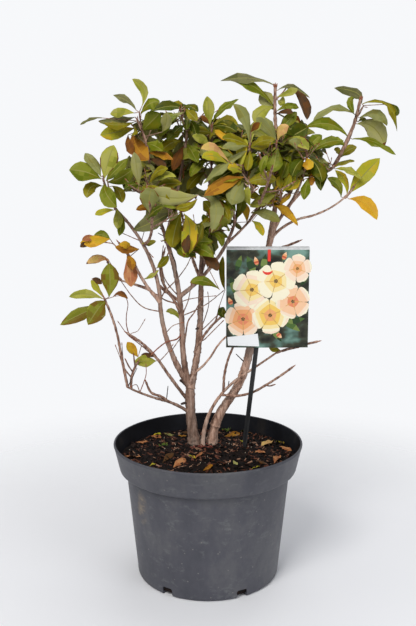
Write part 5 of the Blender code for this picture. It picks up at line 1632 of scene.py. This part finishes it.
for number, (*ends, width) in enumerate(PRINTED_LEAVES):
    foot, tip = (tuple(side * MM for side in end) for end in ends)
    shades = [inks[LEAF_SHADES[(number + row // 2) % len(LEAF_SHADES)]] for row in range(LANCE_CELLS)]
    add_print(garland, lance_rows(foot, tip, width * MM), (0.04 + 0.01 * number) * MM, shades)
for number, (*ends, width) in enumerate(PRINTED_BUDS):
    foot, tip = (tuple(side * MM for side in end) for end in ends)
    shades = [inks[name] for name in BUD_SHADES]
    add_print(garland, lance_rows(foot, tip, width * MM), (0.15 + 0.01 * number) * MM, shades)
for number, flower in enumerate(FLOWERS):
    middle, radius = (flower.x * MM, flower.z * MM), flower.radius * MM
    shades = [inks[name] for name in flower.shades]
    level = (0.20 + 0.09 * number) * MM
    for petal in range(PETALS):
        rows = petal_rows(middle, radius, math.radians(flower.turn + 72 * petal), 1.05, 0.6 * MM)
        add_print(garland, rows, level + 0.012 * MM * petal, shades)
    for thread in range(PETALS):
        turn = math.radians(flower.turn + 36 + 72 * thread)
        tip = (middle[0] + 0.55 * radius * math.cos(turn), middle[1] + 0.55 * radius * math.sin(turn))
        shades = [inks["stamen"]] * LANCE_CELLS
        add_print(garland, lance_rows(middle, tip, 1.3 * MM), level + 0.075 * MM, shades)
garland.settle("printed_garland", "label_card", smooth_angle=0)

STICKER = ((29.5, 369), (75.5, 374.7), (30.5, 356.2), (78.1, 355))      # x and z in mm, upper and lower pair
sticker_finish = plain_finish("sticker_paper", (0.86, 0.88, 0.91), 0.6)
top_left, top_right, foot_left, foot_right = (Vector(place) * MM for place in STICKER)
rows = []
for rise in range(4):
    left, right = top_left.lerp(foot_left, rise / 3), top_right.lerp(foot_right, rise / 3)
    rows.append([right.lerp(left, share / 8) for share in range(9)])
sticker = Cluster()
add_print(sticker, rows, 0.25 * MM, [sticker_finish] * 3)
sticker.settle("bare_sticker", "label_card", smooth_angle=0)

# The stick: a black plastic bar with a rib along its back, pointed into the mix, and a red clip that holds
# the card at its head.
STICK_FOOT, STICK_HEAD = Vector((56, 15.2, 184)) * MM, Vector((90, 9.2, 500)) * MM
STICK_WIDE, STICK_DEEP, STICK_ROUND, POINT_LENGTH = 7 * MM, 2.0 * MM, 0.3 * MM, 15 * MM
RIB_MARGIN, RIB_HEIGHT = 2.4 * MM, 0.9 * MM
CLIP_LEFT, CLIP_RIGHT, CLIP_FOOT, CLIP_TOP = 89.2 * MM, 93.6 * MM, 485 * MM, 502.5 * MM
CRESCENT_X, CRESCENT_Z, CRESCENT_RADIUS, CRESCENT_WIDE = 89.2 * MM, 475 * MM, 8.5 * MM, 3.2 * MM
CRESCENT_ROWS, CRESCENT_START, CRESCENT_ARC = 13, -148, 116       # the arc in degrees

stick_finish = plain_finish("stick_plastic", (0.012, 0.013, 0.015), 0.4)
rubbed = clouds(stick_finish, 55, 7, 0.5, (1, 1, 0.3))
roughen(stick_finish, rubbed, 0.32, 0.6)
colour_by(stick_finish, rubbed, (0.45, (0.010, 0.011, 0.013)), (0.62, (0.020, 0.021, 0.023)),
          (0.75, (0.06, 0.055, 0.05)))
run = STICK_HEAD - STICK_FOOT
stick = start_piece(bpy.ops.mesh.primitive_cube_add, "label_stick_bar", stick_finish, size=1)
set_scale(stick, (STICK_WIDE, STICK_DEEP, run.length - POINT_LENGTH))
pick(stick, "polygons", lambda face: face.normal.z < -0.9)
with editing():
    bpy.ops.mesh.select_mode(type="FACE")
    bpy.ops.mesh.extrude_region_move(TRANSFORM_OT_translate={"value": (0, 0, -POINT_LENGTH)})
    bpy.ops.transform.resize(value=(0.12, 0.5, 1), center_override=(0, 0, -(run.length + POINT_LENGTH) / 2))
pick(stick, "polygons", lambda face: face.normal.y > 0.9 and face.center.z > -POINT_LENGTH)
with editing():
    bpy.ops.mesh.inset(thickness=RIB_MARGIN)
    bpy.ops.mesh.extrude_region_move(TRANSFORM_OT_translate={"value": (0, RIB_HEIGHT, 0)})
    bpy.ops.mesh.select_all(action="SELECT")
    bpy.ops.mesh.bevel(offset=STICK_ROUND, segments=2, affect="EDGES")
    bpy.ops.mesh.select_mode(type="VERT")
stick.rotation_euler = run.to_track_quat("Z", "X").to_euler()
stick.location = (STICK_FOOT + STICK_HEAD) / 2 + run.normalized() * POINT_LENGTH / 2
settle_piece(stick, "label_stick", "label_stick")

clip_finish = plain_finish("red_clip", (0.78, 0.05, 0.03), 0.35)
clip = Cluster()
rows = [[(CLIP_RIGHT, z), (CLIP_LEFT, z)] for z in (CLIP_TOP, (CLIP_TOP + CLIP_FOOT) / 2, CLIP_FOOT)]
add_print(clip, rows, 1.0 * MM, [clip_finish] * 2)
rows = []
for step in range(CRESCENT_ROWS):
    turn = math.radians(CRESCENT_START + CRESCENT_ARC * step / (CRESCENT_ROWS - 1))
    wide = CRESCENT_WIDE * (0.25 + math.sin(math.pi * (step + 0.5) / CRESCENT_ROWS))
    reaches = [CRESCENT_RADIUS + wide * side for side in (-0.5, 0.5)]
    rows.append([(CRESCENT_X + out * math.cos(turn), CRESCENT_Z + out * math.sin(turn)) for out in reaches])
add_print(clip, rows, 0.85 * MM, [clip_finish] * (CRESCENT_ROWS - 1))
clip.settle("red_clip", "label_stick", smooth_angle=0)
